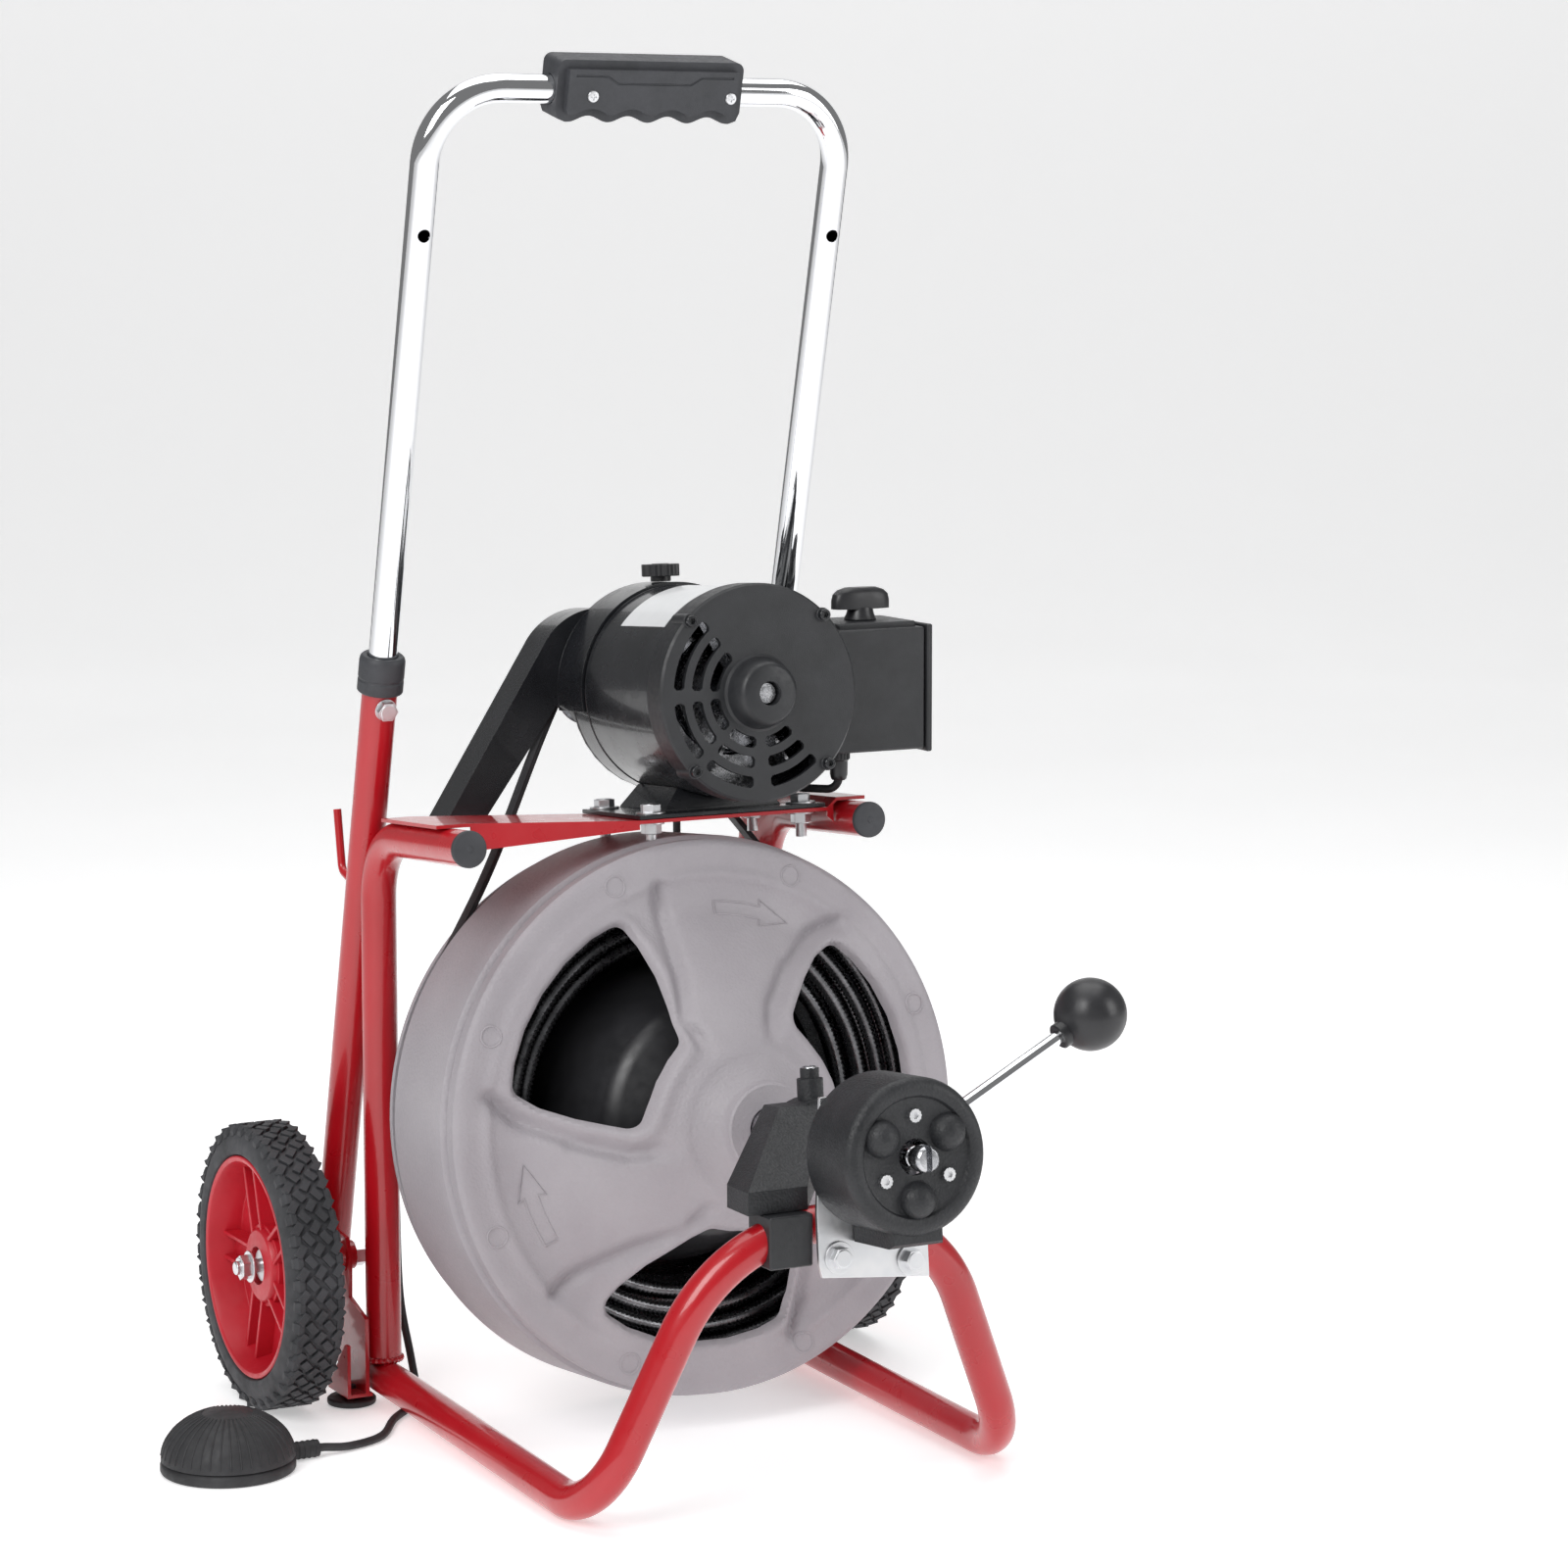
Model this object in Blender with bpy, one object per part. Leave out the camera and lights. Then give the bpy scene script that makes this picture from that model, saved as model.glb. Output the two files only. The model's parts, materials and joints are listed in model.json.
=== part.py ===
"""Drain snake machine: a wheeled red tube frame that carries a motor, a belt-driven cable drum and a
cable feed unit, with a telescopic handle and an air-operated foot pedal.

Driving sizes are in millimetres, and publish() turns them into metres. +X is the machine's right seen
from the front, the cable comes out towards -Y, +Z is up and the floor is z = 0. The shapes are drawn with
the posts at y = 0, and publish() moves them so that the origin is under the middle of the machine.
"""

import math

import bmesh
import bpy
from mathutils import Matrix, Vector

MM = 0.001
GAP = 0.3
WELD = 0.002
CENTRE = Vector((0, 168.1, 0))
TURN = 2 * math.pi

# Frame tube
TUBE_R = 12.7
TUBE_BORE = 10.9
RAIL_X = 156
RAIL_REAR = (RAIL_X, 12, 20)
LOOP_FOOT = (158.5, -360, 11.8)
LOOP_TOP = (78, -387.5, 197)
LOOP_FOOT_BEND = 55
LOOP_TOP_BEND = 108
POST_BOTTOM = 33.1
ARM_TILT = math.radians(4)
ARM_FRONT = (-160, 426.7)
ARM_BEND = 48

# Handle and its sockets
LEG_X = 158.5
LEG_LEAN = 0.245
LEG_Y_AT_500 = -8
SOCKET_Z = (62, 521)
SOCKET_BORE = 10.7
HANDLE_R = 10.2
HANDLE_BORE = 8.9
HANDLE_LOW_Z = 470
HANDLE_TOP_Z = 942
HANDLE_BEND = 52
HANDLE_HOLE_Z = 844
LOCK_Z = 512
GRIP_HALF = 71

# Wheels
WHEEL_X = 229.8
WHEEL_Y = 35.5
WHEEL_R = 103.5
WHEEL_WIDTH = 40.4
RIM_R = 80.5
AXLE_R = 5

# Motor: its frame starts at the centre of the front bell's face
MOTOR_AT = (62, -172.5, 524)
MOTOR_TILT = math.radians(4)
MOTOR_R = 75
BELL_R = 77
MOTOR_LENGTH = 168
GEAR_MODULE = 2
PINION_TEETH = 18
GEAR_TEETH = 26
GEAR_OFFSET = GEAR_MODULE * (PINION_TEETH + GEAR_TEETH) / 2
PULLEY_R = 20
PULLEY_HALF = 6.8
PULLEY_AT = (-GEAR_OFFSET, 0, -181.5)

# Drum: its frame starts on the drum axis, in the plane of the front rim
DRUM_AT = (26.5, -165, 223.3)
DRUM_TILT = math.radians(5.5)
DRUM_R = 199.5
BELT_R = 188
BELT_H = -110.1
BELT_HALF = (5.4, 6)
BELT_THICK = 4
BELT_IN_PLANE = 0.24
STRAND_STEPS = 12
WINDOW_ANGLES = (24, 144, 264)
WINDOW_CORNERS = (
    (156, -30), (157, -12), (157, 7), (155, 24), (116, 30), (80, 34), (75, 8), (76, -17), (116, -29),
)
WINDOW_ROUND = 9

# Feed unit, on the drum axis
FEED_FACE = 296
FEED_REAR = 240.7
FEED_R = 52
LEVER_ANGLE = math.radians(27)
LEVER_H = 268
BALL_AT = 171
BALL_R = 24.6

# Foot pedal and air hose
PEDAL_AT = (-316, -106)
HOSE_R = 2.9

COLOURS = {
    "red_paint": ((0.62, 0.01, 0.02), 0.0, 0.25),
    "chrome": ((0.80, 0.81, 0.83), 1.0, 0.08),
    "zinc": ((0.62, 0.63, 0.64), 1.0, 0.3),
    "black_paint": ((0.02, 0.02, 0.022), 0.0, 0.3),
    "black_plastic": ((0.03, 0.03, 0.033), 0.0, 0.5),
    "rubber": ((0.035, 0.035, 0.037), 0.0, 0.8),
    "red_plastic": ((0.60, 0.015, 0.025), 0.0, 0.4),
    "drum_plastic": ((0.36, 0.33, 0.35), 0.0, 0.5),
    "spring_steel": ((0.06, 0.06, 0.065), 1.0, 0.4),
}


# ---------------------------------------------------------------- shapes


def axis_frame(origin, tilt):
    """Local x is right, y up and z forward, with the front raised by the tilt."""
    return Matrix.Translation(origin) @ Matrix.Rotation(math.pi / 2 - tilt, 4, "X")


MOTOR = axis_frame(MOTOR_AT, MOTOR_TILT)
DRUM = axis_frame(DRUM_AT, DRUM_TILT)


def placed(mesh, matrix):
    bmesh.ops.transform(mesh, matrix=matrix, verts=mesh.verts)
    return mesh


def oriented(mesh):
    bmesh.ops.recalc_face_normals(mesh, faces=mesh.faces)
    if mesh.calc_volume(signed=True) < 0:
        bmesh.ops.reverse_faces(mesh, faces=mesh.faces)
    return mesh


def lathe(profile, sides=24):
    """Turns a closed outline of (radius, height) points about the local z axis."""
    mesh = bmesh.new()
    rings = []
    for radius, height in profile:
        if radius == 0:
            rings.append([mesh.verts.new((0, 0, height))] * sides)
            continue
        angles = (TURN * k / sides for k in range(sides))
        circle = ((radius * math.cos(a), radius * math.sin(a)) for a in angles)
        rings.append([mesh.verts.new((x, y, height)) for x, y in circle])
    for lower, upper in zip(rings, rings[1:] + rings[:1]):
        for k in range(sides):
            after = (k + 1) % sides
            corners = dict.fromkeys((lower[k], lower[after], upper[after], upper[k]))
            if len(corners) > 2:
                mesh.faces.new(corners)
    return oriented(mesh)


def disc(radius, low, high, bore=0, sides=24, edge=0):
    """A turned plate, ring or rod along z. The edge is a chamfer on its outer corners."""
    outside = [(radius, low + edge), (radius, high - edge)]
    if edge:
        outside = [(radius - edge, low)] + outside + [(radius - edge, high)]
    inside = [(bore, high), (bore, low)]
    return lathe(outside + inside, sides)


def frames_along(points):
    """The tangent and two normals at each point of a route, with as little twist as possible."""
    points = [Vector(p) for p in points]
    steps = [(b - a).normalized() for a, b in zip(points, points[1:])]
    middle = [(a + b).normalized() for a, b in zip(steps, steps[1:])]
    tangents = [steps[0]] + middle + [steps[-1]]
    side = tangents[0].orthogonal().normalized()
    found = []
    for tangent in tangents:
        side = (side - tangent * side.dot(tangent)).normalized()
        found.append((tangent, side, tangent.cross(side)))
    return points, found


def sweep(points, radius, bore=0, sides=12):
    """A round bar or tube along a route of points, with flat ends."""
    mesh = bmesh.new()
    points, frames = frames_along(points)

    def ring(point, frame, size):
        return [
            mesh.verts.new(point + size * (math.cos(a) * frame[1] + math.sin(a) * frame[2]))
            for a in (TURN * k / sides for k in range(sides))
        ]

    def skin(rings):
        for a, b in zip(rings, rings[1:]):
            for k in range(sides):
                mesh.faces.new((a[k], a[(k + 1) % sides], b[(k + 1) % sides], b[k]))

    outer = [ring(p, f, radius) for p, f in zip(points, frames)]
    skin(outer)
    if bore:
        inner = [ring(p, f, bore) for p, f in zip(points, frames)]
        skin(inner)
        skin([outer[0], inner[0]])
        skin([outer[-1], inner[-1]])
    else:
        mesh.faces.new(outer[0])
        mesh.faces.new(outer[-1])
    return oriented(mesh)


def rod(start, end, radius, bore=0, sides=16):
    return sweep([start, end], radius, bore, sides)


def rounded_route(corners, radii, steps=6):
    """A route through the corners, with an arc of the given radius at each corner between its ends."""
    corners = [Vector(c) for c in corners]
    route = [corners[0]]
    for before, corner, after, radius in zip(corners, corners[1:], corners[2:], radii):
        a = (before - corner).normalized()
        b = (after - corner).normalized()
        half = a.angle(b) / 2
        centre = corner + (a + b).normalized() * radius / math.sin(half)
        start = corner + a * radius / math.tan(half) - centre
        end = corner + b * radius / math.tan(half) - centre
        route += [centre + radius * start.slerp(end, k / steps).normalized() for k in range(steps + 1)]
    return route + [corners[-1]]


def prism(outline, low, high):
    """Extrudes an outline of (x, y) points along z."""
    mesh = bmesh.new()
    bottom = [mesh.verts.new((x, y, low)) for x, y in outline]
    top = [mesh.verts.new((x, y, high)) for x, y in outline]
    mesh.faces.new(bottom)
    mesh.faces.new(top)
    for k in range(len(outline)):
        after = (k + 1) % len(outline)
        mesh.faces.new((bottom[k], bottom[after], top[after], top[k]))
    return oriented(mesh)


def front_prism(outline, near, far):
    """Extrudes an outline of world (x, z) points along Y."""
    return placed(prism(outline, -far, -near), Matrix.Rotation(math.pi / 2, 4, "X"))


def side_prism(outline, near, far):
    """Extrudes an outline of world (y, z) points along X."""
    turned = Matrix(((0, 0, 1, 0), (1, 0, 0, 0), (0, 1, 0, 0), (0, 0, 0, 1)))
    return placed(prism(outline, near, far), turned)


def block(x, y, z, edge=0):
    mesh = prism([(x[0], y[0]), (x[1], y[0]), (x[1], y[1]), (x[0], y[1])], z[0], z[1])
    return softened(mesh, edge)


def softened(mesh, edge):
    """Bevels every sharp edge."""
    if edge:
        sharp = [e for e in mesh.edges if e.calc_face_angle(0) > math.radians(35)]
        bmesh.ops.bevel(mesh, geom=sharp, offset=edge, segments=1, affect="EDGES", clamp_overlap=True)
    return mesh


def rounded_outline(corners, radius, steps=4):
    """The points of a flat outline with round corners."""
    outline = []
    for k, corner in enumerate(corners):
        corner = Vector(corner)
        a = (Vector(corners[k - 1]) - corner).normalized()
        b = (Vector(corners[(k + 1) % len(corners)]) - corner).normalized()
        half = a.angle(b) / 2
        centre = corner + (a + b).normalized() * radius / math.sin(half)
        start = corner + a * radius / math.tan(half) - centre
        turn = start.angle_signed(corner + b * radius / math.tan(half) - centre)
        for step in range(steps + 1):
            outline.append(centre + Matrix.Rotation(-turn * step / steps, 2) @ start)
    return outline


def polar(radius, degrees):
    angle = math.radians(degrees)
    return radius * math.cos(angle), radius * math.sin(angle)


def arc(radius, first, last, steps, centre=(0, 0)):
    """Points on a circle from one angle in degrees to another."""
    angles = (first + (last - first) * k / steps for k in range(steps + 1))
    return [(centre[0] + polar(radius, a)[0], centre[1] + polar(radius, a)[1]) for a in angles]


def hexagon(across, low, high):
    return prism(arc(across / math.sqrt(3), 0, 300, 5), low, high)


def ball(radius, centre, rings=10, sides=20):
    mesh = bmesh.new()
    bmesh.ops.create_uvsphere(mesh, u_segments=sides, v_segments=rings, radius=radius)
    return placed(mesh, Matrix.Translation(centre))


def hull(*meshes):
    together = bmesh.new()
    for mesh in meshes:
        for vertex in mesh.verts:
            together.verts.new(vertex.co)
    bmesh.ops.convex_hull(together, input=together.verts)
    loose = [v for v in together.verts if not v.link_faces]
    bmesh.ops.delete(together, geom=loose, context="VERTS")
    return oriented(together)


def to_object(name, mesh):
    data = bpy.data.meshes.new(name)
    mesh.to_mesh(data)
    mesh.free()
    made = bpy.data.objects.new(name, data)
    bpy.context.scene.collection.objects.link(made)
    return made


def combined(base, tools, operation):
    """Joins or cuts solids exactly, one tool after another."""
    for tool in tools:
        body = to_object("body", base)
        cutter = to_object("tool", tool)
        modifier = body.modifiers.new("combine", "BOOLEAN")
        modifier.operation = operation
        modifier.solver = "EXACT"
        modifier.object = cutter
        graph = bpy.context.evaluated_depsgraph_get()
        base = bmesh.new()
        base.from_mesh(body.evaluated_get(graph).to_mesh())
        bpy.data.objects.remove(body)
        bpy.data.objects.remove(cutter)
        bmesh.ops.remove_doubles(base, verts=base.verts, dist=WELD)
        bmesh.ops.dissolve_degenerate(base, edges=base.edges, dist=WELD)
    return base


def union(base, *tools):
    return combined(base, tools, "UNION")


def cut(base, *tools):
    return combined(base, tools, "DIFFERENCE")


def material(name):
    if name in bpy.data.materials:
        return bpy.data.materials[name]
    colour, metallic, roughness = COLOURS[name]
    made = bpy.data.materials.new(name)
    made.use_nodes = True
    shader = made.node_tree.nodes["Principled BSDF"]
    shader.inputs["Base Color"].default_value = (*colour, 1)
    shader.inputs["Metallic"].default_value = metallic
    shader.inputs["Roughness"].default_value = roughness
    return made


def publish(name, mesh, material_name, pivot=(0, 0, 0)):
    """Makes the mesh a named node, with its origin at the pivot."""
    pivot = Vector(pivot)
    placed(mesh, Matrix.Scale(MM, 4) @ Matrix.Translation(-pivot))
    made = to_object(name, mesh)
    made.location = (pivot + CENTRE) * MM
    made.data.materials.append(material(material_name))
    return made


def mirrored(point, side):
    return (side * point[0], *point[1:])


SIDES = (("left", -1), ("right", 1))


# ---------------------------------------------------------------- frame


def leg_point(side, z, towards_back=0):
    """A point of the handle leg's centre line, or one the given distance behind it."""
    lean = math.atan(LEG_LEAN)
    y = LEG_Y_AT_500 - LEG_LEAN * (z - 500)
    return Vector((side * LEG_X, y + towards_back * math.cos(lean), z + towards_back * math.sin(lean)))


def base_frame_route():
    left = [mirrored(p, -1) for p in (RAIL_REAR, LOOP_FOOT, LOOP_TOP)]
    right = [LOOP_TOP, LOOP_FOOT, RAIL_REAR]
    bends = [LOOP_FOOT_BEND, LOOP_TOP_BEND, LOOP_TOP_BEND, LOOP_FOOT_BEND]
    return rounded_route(left + right, bends, 5)


def build_base_frame():
    publish("base_frame", sweep(base_frame_route(), TUBE_R, TUBE_BORE), "red_paint")


def arm_height(y):
    """The arm's centre height at this Y."""
    return ARM_FRONT[1] + (ARM_FRONT[0] - y) * math.tan(ARM_TILT)


def build_posts():
    """Each post stands on its rail and bends forward into an arm. Its back is coped round the socket."""
    for name, side in SIDES:
        x = side * RAIL_X
        corners = [(x, 0, POST_BOTTOM), (x, 0, arm_height(0)), (x, *ARM_FRONT)]
        post = sweep(rounded_route(corners, [ARM_BEND], 6), TUBE_R, TUBE_BORE)
        cope = rod(leg_point(side, 40), leg_point(side, 540), TUBE_R + GAP, sides=24)
        publish(f"{name}_post", cut(post, cope), "red_paint")


def cord_hook():
    """A bent rod welded to the back of the left socket."""
    start = leg_point(-1, 372, TUBE_R - 1.5)
    route = [start, (-LEG_X, start.y + 27, start.z + 8), (-LEG_X, start.y + 35, start.z + 52)]
    return sweep(rounded_route(route, [9], 5), 3, sides=10)


def build_sockets():
    for name, side in SIDES:
        low, high = (leg_point(side, z) for z in SOCKET_Z)
        socket = rod(low, high, TUBE_R, SOCKET_BORE, 16)
        if name == "left":
            socket = union(socket, cord_hook())
        hole = rod(leg_point(side, LOCK_Z, -30), leg_point(side, LOCK_Z), 4.6, sides=12)
        publish(f"{name}_handle_socket", cut(socket, hole), "red_paint")


def build_cross_tube():
    """It joins the two posts behind the drum, and the stub shaft welded to it carries the drum."""
    reach = RAIL_X - TUBE_R - GAP
    z = DRUM_AT[2] + DRUM_AT[1] * math.tan(DRUM_TILT)
    tube = rod((-reach, 0, z), (reach, 0, z), TUBE_R, TUBE_BORE)
    shaft = lathe([(0, -30), (9.7, -30), (9.7, -143), (16, -143.5), (16, -156), (0, -156)], 20)
    publish("rear_cross_tube", union(tube, placed(shaft, DRUM)), "red_paint")


def plate_frame():
    """Local x is right, y back along the arms and z up, from the arms' top at the plate's front edge."""
    top = arm_height(-134) + (TUBE_R + GAP) / math.cos(ARM_TILT)
    return Matrix.Translation((0, -134, top)) @ Matrix.Rotation(-ARM_TILT, 4, "X")


PLATE = plate_frame()
PLATE_T = 2.5
PLATE_DEPTH = 98
SEAT = (-13, 137)
SEAT_DROP = 6.7
BOLT_SPREAD = (60, 38)
BOLT_CENTRE = (62, 51)


def bolt_holes():
    """Cutters for the four motor bolts, in the plate's frame."""
    cutters = []
    for x in (BOLT_CENTRE[0] - BOLT_SPREAD[0], BOLT_CENTRE[0] + BOLT_SPREAD[0]):
        for y in (BOLT_CENTRE[1] - BOLT_SPREAD[1], BOLT_CENTRE[1] + BOLT_SPREAD[1]):
            cutters.append(placed(disc(4.6, -20, 20, sides=12), Matrix.Translation((x, y, 0))))
    return cutters


def build_motor_plate():
    """A folded sheet: it rests on both arms, dips to the motor's seat and has a web under its front."""
    top = [(-168, PLATE_T), (-146, PLATE_T), (SEAT[0], PLATE_T - SEAT_DROP)]
    top += [(SEAT[1], PLATE_T - SEAT_DROP), (145, PLATE_T), (168, PLATE_T)]
    bottom = [(x, z - PLATE_T) for x, z in reversed(top)]
    plate = front_prism(top + bottom, 0, PLATE_DEPTH)
    top, low = -SEAT_DROP + 1, -SEAT_DROP - 4
    web = front_prism([(-142, 1), (SEAT[0], top), (SEAT[0], low), (-142, -17)], 0, 2)
    lip = front_prism([(SEAT[1], top), (142, -1.5), (142, -15), (SEAT[1], low)], 0, 2)
    plate = cut(union(plate, web, lip), *bolt_holes())
    publish("motor_plate", placed(plate, PLATE), "red_paint")


def bracket_outline():
    """The wheel bracket's web in (y, z): it runs from the socket past the axle down to the foot."""
    return [
        (-10, 9), (30, 9), (62, 40), (103, 62), (92, 112), (75, 112),
        (46, 121), (26, 119), (20, 106), (21, 76), (-10, 66),
    ]


def build_wheel_brackets():
    """Each bracket is a folded sheet outside the frame, with the sleeve that holds the stub axle."""
    for name, side in SIDES:
        web = side_prism(bracket_outline(), 171.5, 174.5)
        floor = block((169.2, 188.5), (-10, 28), (9, 11.5))
        wing = side_prism([(-10, 10), (28, 10), (-5, 48), (-10, 48)], 186, 188.5)
        sleeve = rod((165.5, WHEEL_Y, WHEEL_R), (208.5, WHEEL_Y, WHEEL_R), 10.5, sides=20)
        bore = rod((160, WHEEL_Y, WHEEL_R), (215, WHEEL_Y, WHEEL_R), AXLE_R + GAP, sides=16)
        bracket = cut(union(web, floor, wing, sleeve), bore)
        foot_bolt = placed(disc(3.4, 0, 20, sides=12), Matrix.Translation((*FOOT_AT, 0)))
        bracket = cut(bracket, foot_bolt)
        publish(f"{name}_wheel_bracket", flipped(bracket, side), "red_paint")


def flipped(mesh, side):
    """Mirrors a solid made on the right to the left."""
    if side < 0:
        placed(mesh, Matrix.Scale(-1, 4, (1, 0, 0)))
        bmesh.ops.reverse_faces(mesh, faces=mesh.faces)
    return mesh


FOOT_AT = (178, 9)
FOOT_PROFILE = (
    (0, 0), (15.5, 0), (17.8, 2), (17.8, 5), (12, 6.2), (9, 8.7), (3, 8.7), (3, 14), (0, 14),
)


def build_feet():
    for name, side in SIDES:
        foot = lathe(FOOT_PROFILE, 16)
        placed(foot, Matrix.Translation((side * FOOT_AT[0], FOOT_AT[1], 0)))
        publish(f"{name}_rubber_foot", foot, "rubber")


def build_end_caps():
    """Push-in plugs in the arms' front ends."""
    for name, side in SIDES:
        face = (side * RAIL_X, ARM_FRONT[0] - GAP, ARM_FRONT[1])
        outline = [(0, -12), (10.3, -12), (10.4, 0), (12.9, 0), (12.9, 2), (11.5, 3.6), (0, 3.6)]
        plug = lathe(outline, 18)
        publish(f"{name}_arm_cap", placed(plug, axis_frame(face, ARM_TILT)), "black_plastic")


def build_collars():
    """The plastic guide sleeve on top of each socket, which the chrome leg slides through."""
    for name, side in SIDES:
        base = leg_point(side, SOCKET_Z[1])
        upward = (leg_point(side, 600) - base).to_track_quat("Z", "Y").to_matrix().to_4x4()
        outline = [(10.6, GAP), (16, GAP), (16.4, 2), (16.4, 24), (15, 27.5), (10.6, 27.5)]
        collar = placed(lathe(outline, 18), Matrix.Translation(base) @ upward)
        publish(f"{name}_socket_collar", collar, "black_plastic")


def build_lock_screws():
    """A hex screw in the front of each socket. Its point sits just off the chrome leg."""
    for name, side in SIDES:
        centre = leg_point(side, LOCK_Z)
        forward = (leg_point(side, LOCK_Z, -10) - centre).to_track_quat("Z", "Y").to_matrix().to_4x4()
        screw = union(disc(3.9, HANDLE_R + 0.4, 16, sides=12), hexagon(13, 13.2, 19.5))
        publish(f"{name}_lock_screw", placed(screw, Matrix.Translation(centre) @ forward), "zinc")


# ---------------------------------------------------------------- handle


def build_handle():
    """One bent chrome tube. It slides down in both sockets."""
    low = [leg_point(s, HANDLE_LOW_Z) for s in (-1, 1)]
    high = [leg_point(s, HANDLE_TOP_Z) for s in (-1, 1)]
    route = rounded_route([low[0], high[0], high[1], low[1]], [HANDLE_BEND] * 2, 5)
    handle = sweep(route, HANDLE_R, HANDLE_BORE)
    for side in (-1, 1):
        centre = leg_point(side, HANDLE_HOLE_Z)
        handle = cut(handle, rod(leg_point(side, HANDLE_HOLE_Z, -20), centre, 4.6, sides=12))
    publish("handle_tube", handle, "chrome", leg_point(1, 500))


def grip_frame():
    """Local x is right, y forward and z up along the handle's lean, at the middle of the top bar."""
    lean = math.atan(LEG_LEAN)
    centre = leg_point(1, HANDLE_TOP_Z)
    return Matrix.Translation((0, centre.y, centre.z)) @ Matrix.Rotation(lean, 4, "X")


def grip_outline():
    """The grip seen from the front: a flat top and four finger hollows below."""
    half = GRIP_HALF
    left = [(-half, -13), (-half + 1, 20), (-half + 5, 23)]
    outline = left + [(-x, y) for x, y in reversed(left)]
    outline += [(half - 8, -20)]
    for finger in range(4):
        centre = half - 25 - 30.6 * finger
        outline += [(centre + 11, -20), (centre + 4, -15.5), (centre - 4, -15.5), (centre - 11, -20)]
    return outline + [(-half + 8, -20)]


def build_grip():
    """Two shells that clamp round the top bar. They part 0.3 mm along the middle."""
    frame = grip_frame()
    bar = rod((-90, 0, 0), (90, 0, 0), HANDLE_R + GAP, sides=24)
    for name, near, far in (("front", -19, -GAP / 2), ("rear", GAP / 2, 19)):
        shell = softened(front_prism(grip_outline(), near, far), 2.5)
        shell = placed(cut(shell, bar.copy()), frame)
        publish(f"grip_{name}_shell", shell, "black_plastic", leg_point(1, 500))
    bar.free()


# ---------------------------------------------------------------- wheels


def wheel_frame(side):
    """Local z points outwards along the axle."""
    centre = (side * WHEEL_X, WHEEL_Y, WHEEL_R)
    return Matrix.Translation(centre) @ Matrix.Rotation(side * math.pi / 2, 4, "Y")


def build_wheels():
    half = WHEEL_WIDTH / 2
    tread = [
        (RIM_R + GAP, -half + 3), (86, -half), (96, -half + 2.5), (WHEEL_R, -half + 9),
        (WHEEL_R, half - 9), (96, half - 2.5), (86, half), (RIM_R + GAP, half - 3),
    ]
    dish = [
        (5.4, -20), (13, -20), (16, -10), (72, -10), (74, -18), (RIM_R, -18), (RIM_R, 18), (75, 18),
        (70, -6), (28, -6), (25, 9), (13, 14), (5.4, 14),
    ]
    for name, side in SIDES:
        frame = wheel_frame(side)
        centre = frame.translation
        publish(f"{name}_tyre", placed(lathe(tread, 24), frame), "rubber", centre)
        ribs = [block((22, 73), (-8, 8), (-7, 8)) for _ in range(5)]
        for k, rib in enumerate(ribs):
            placed(rib, Matrix.Rotation(TURN * (k + 0.25) / 5, 4, "Z"))
        rim = union(lathe(dish, 24), *ribs)
        publish(f"{name}_wheel_rim", placed(rim, frame), "red_plastic", centre)


def build_axles():
    """Each stub axle is held in its bracket's sleeve, with a nut outside the hub and one inside."""
    for name, side in SIDES:
        axle = disc(AXLE_R, -78, 27, sides=14)
        outer_nut = hexagon(16, 14.3, 23)
        inner_nut = hexagon(16, -72.5, -65)
        axle = union(axle, outer_nut, inner_nut)
        publish(f"{name}_stub_axle", placed(axle, wheel_frame(side)), "zinc")


# ---------------------------------------------------------------- motor


def build_motor_base():
    """The black plate bolted to the seat, with a neck that holds the motor's shell."""
    low = PLATE_T - SEAT_DROP + GAP
    plate = block((SEAT[0] + 1, SEAT[1] - 1), (1, 97), (low, low + 3))
    foot = block((62 - 46, 62 + 46), (18, 92), (low + 1, low + 4))
    saddle = block((62 - 26, 62 + 26), (26, 84), (low + 14, low + 28))
    base = union(plate, hull(foot, saddle))
    base = placed(cut(base, *bolt_holes()), PLATE)
    shell = placed(disc(MOTOR_R + GAP, -190, 10, sides=48), MOTOR)
    publish("motor_base", cut(base, shell), "black_paint")


def build_motor_shell():
    shell = disc(MOTOR_R, -148, -22.3, bore=72, sides=40)
    publish("motor_shell", placed(shell, MOTOR), "black_paint")


VENT_RINGS = ((31, 39), (45, 53), (59, 67))
VENT_SECTORS = ((128, 176), (184, 222), (228, 264), (276, 312))


def vent(ring, sector):
    """One curved slot of the front bell."""
    inner, outer = ring
    first, last = sector
    outline = arc(outer, first, last, 2) + arc(inner, last, first, 2)
    return prism(outline, -8, 4)


def build_front_bell():
    """A cup with a raised hub, open at the shaft and slotted for cooling air."""
    cup = lathe(
        [
            (8.5, 17), (20, 17), (22.5, 14.5), (25, 4), (27, 0), (75, 0), (BELL_R, -2), (BELL_R, -22),
            (73, -22), (73, -4), (17, -4), (17, -10), (8.5, -10),
        ],
        28,
    )
    slots = [vent(ring, sector) for ring in VENT_RINGS for sector in VENT_SECTORS]
    publish("motor_front_bell", placed(cut(cup, *slots), MOTOR), "black_paint")


def gear(teeth, low, high, bore=0):
    """A spur gear with straight-sided teeth. One tooth points along local x."""
    pitch = TURN / teeth
    radius = GEAR_MODULE * teeth / 2
    root, tip = radius - 2.4, radius + 1.8
    outline = []
    for k in range(teeth):
        for r, share in ((root, -0.3), (tip, -0.11), (tip, 0.11), (root, 0.3)):
            angle = (k + share) * pitch
            outline.append((r * math.cos(angle), r * math.sin(angle)))
    wheel = prism(outline, low, high)
    return cut(wheel, disc(bore, low - 5, high + 5, sides=20)) if bore else wheel


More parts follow.
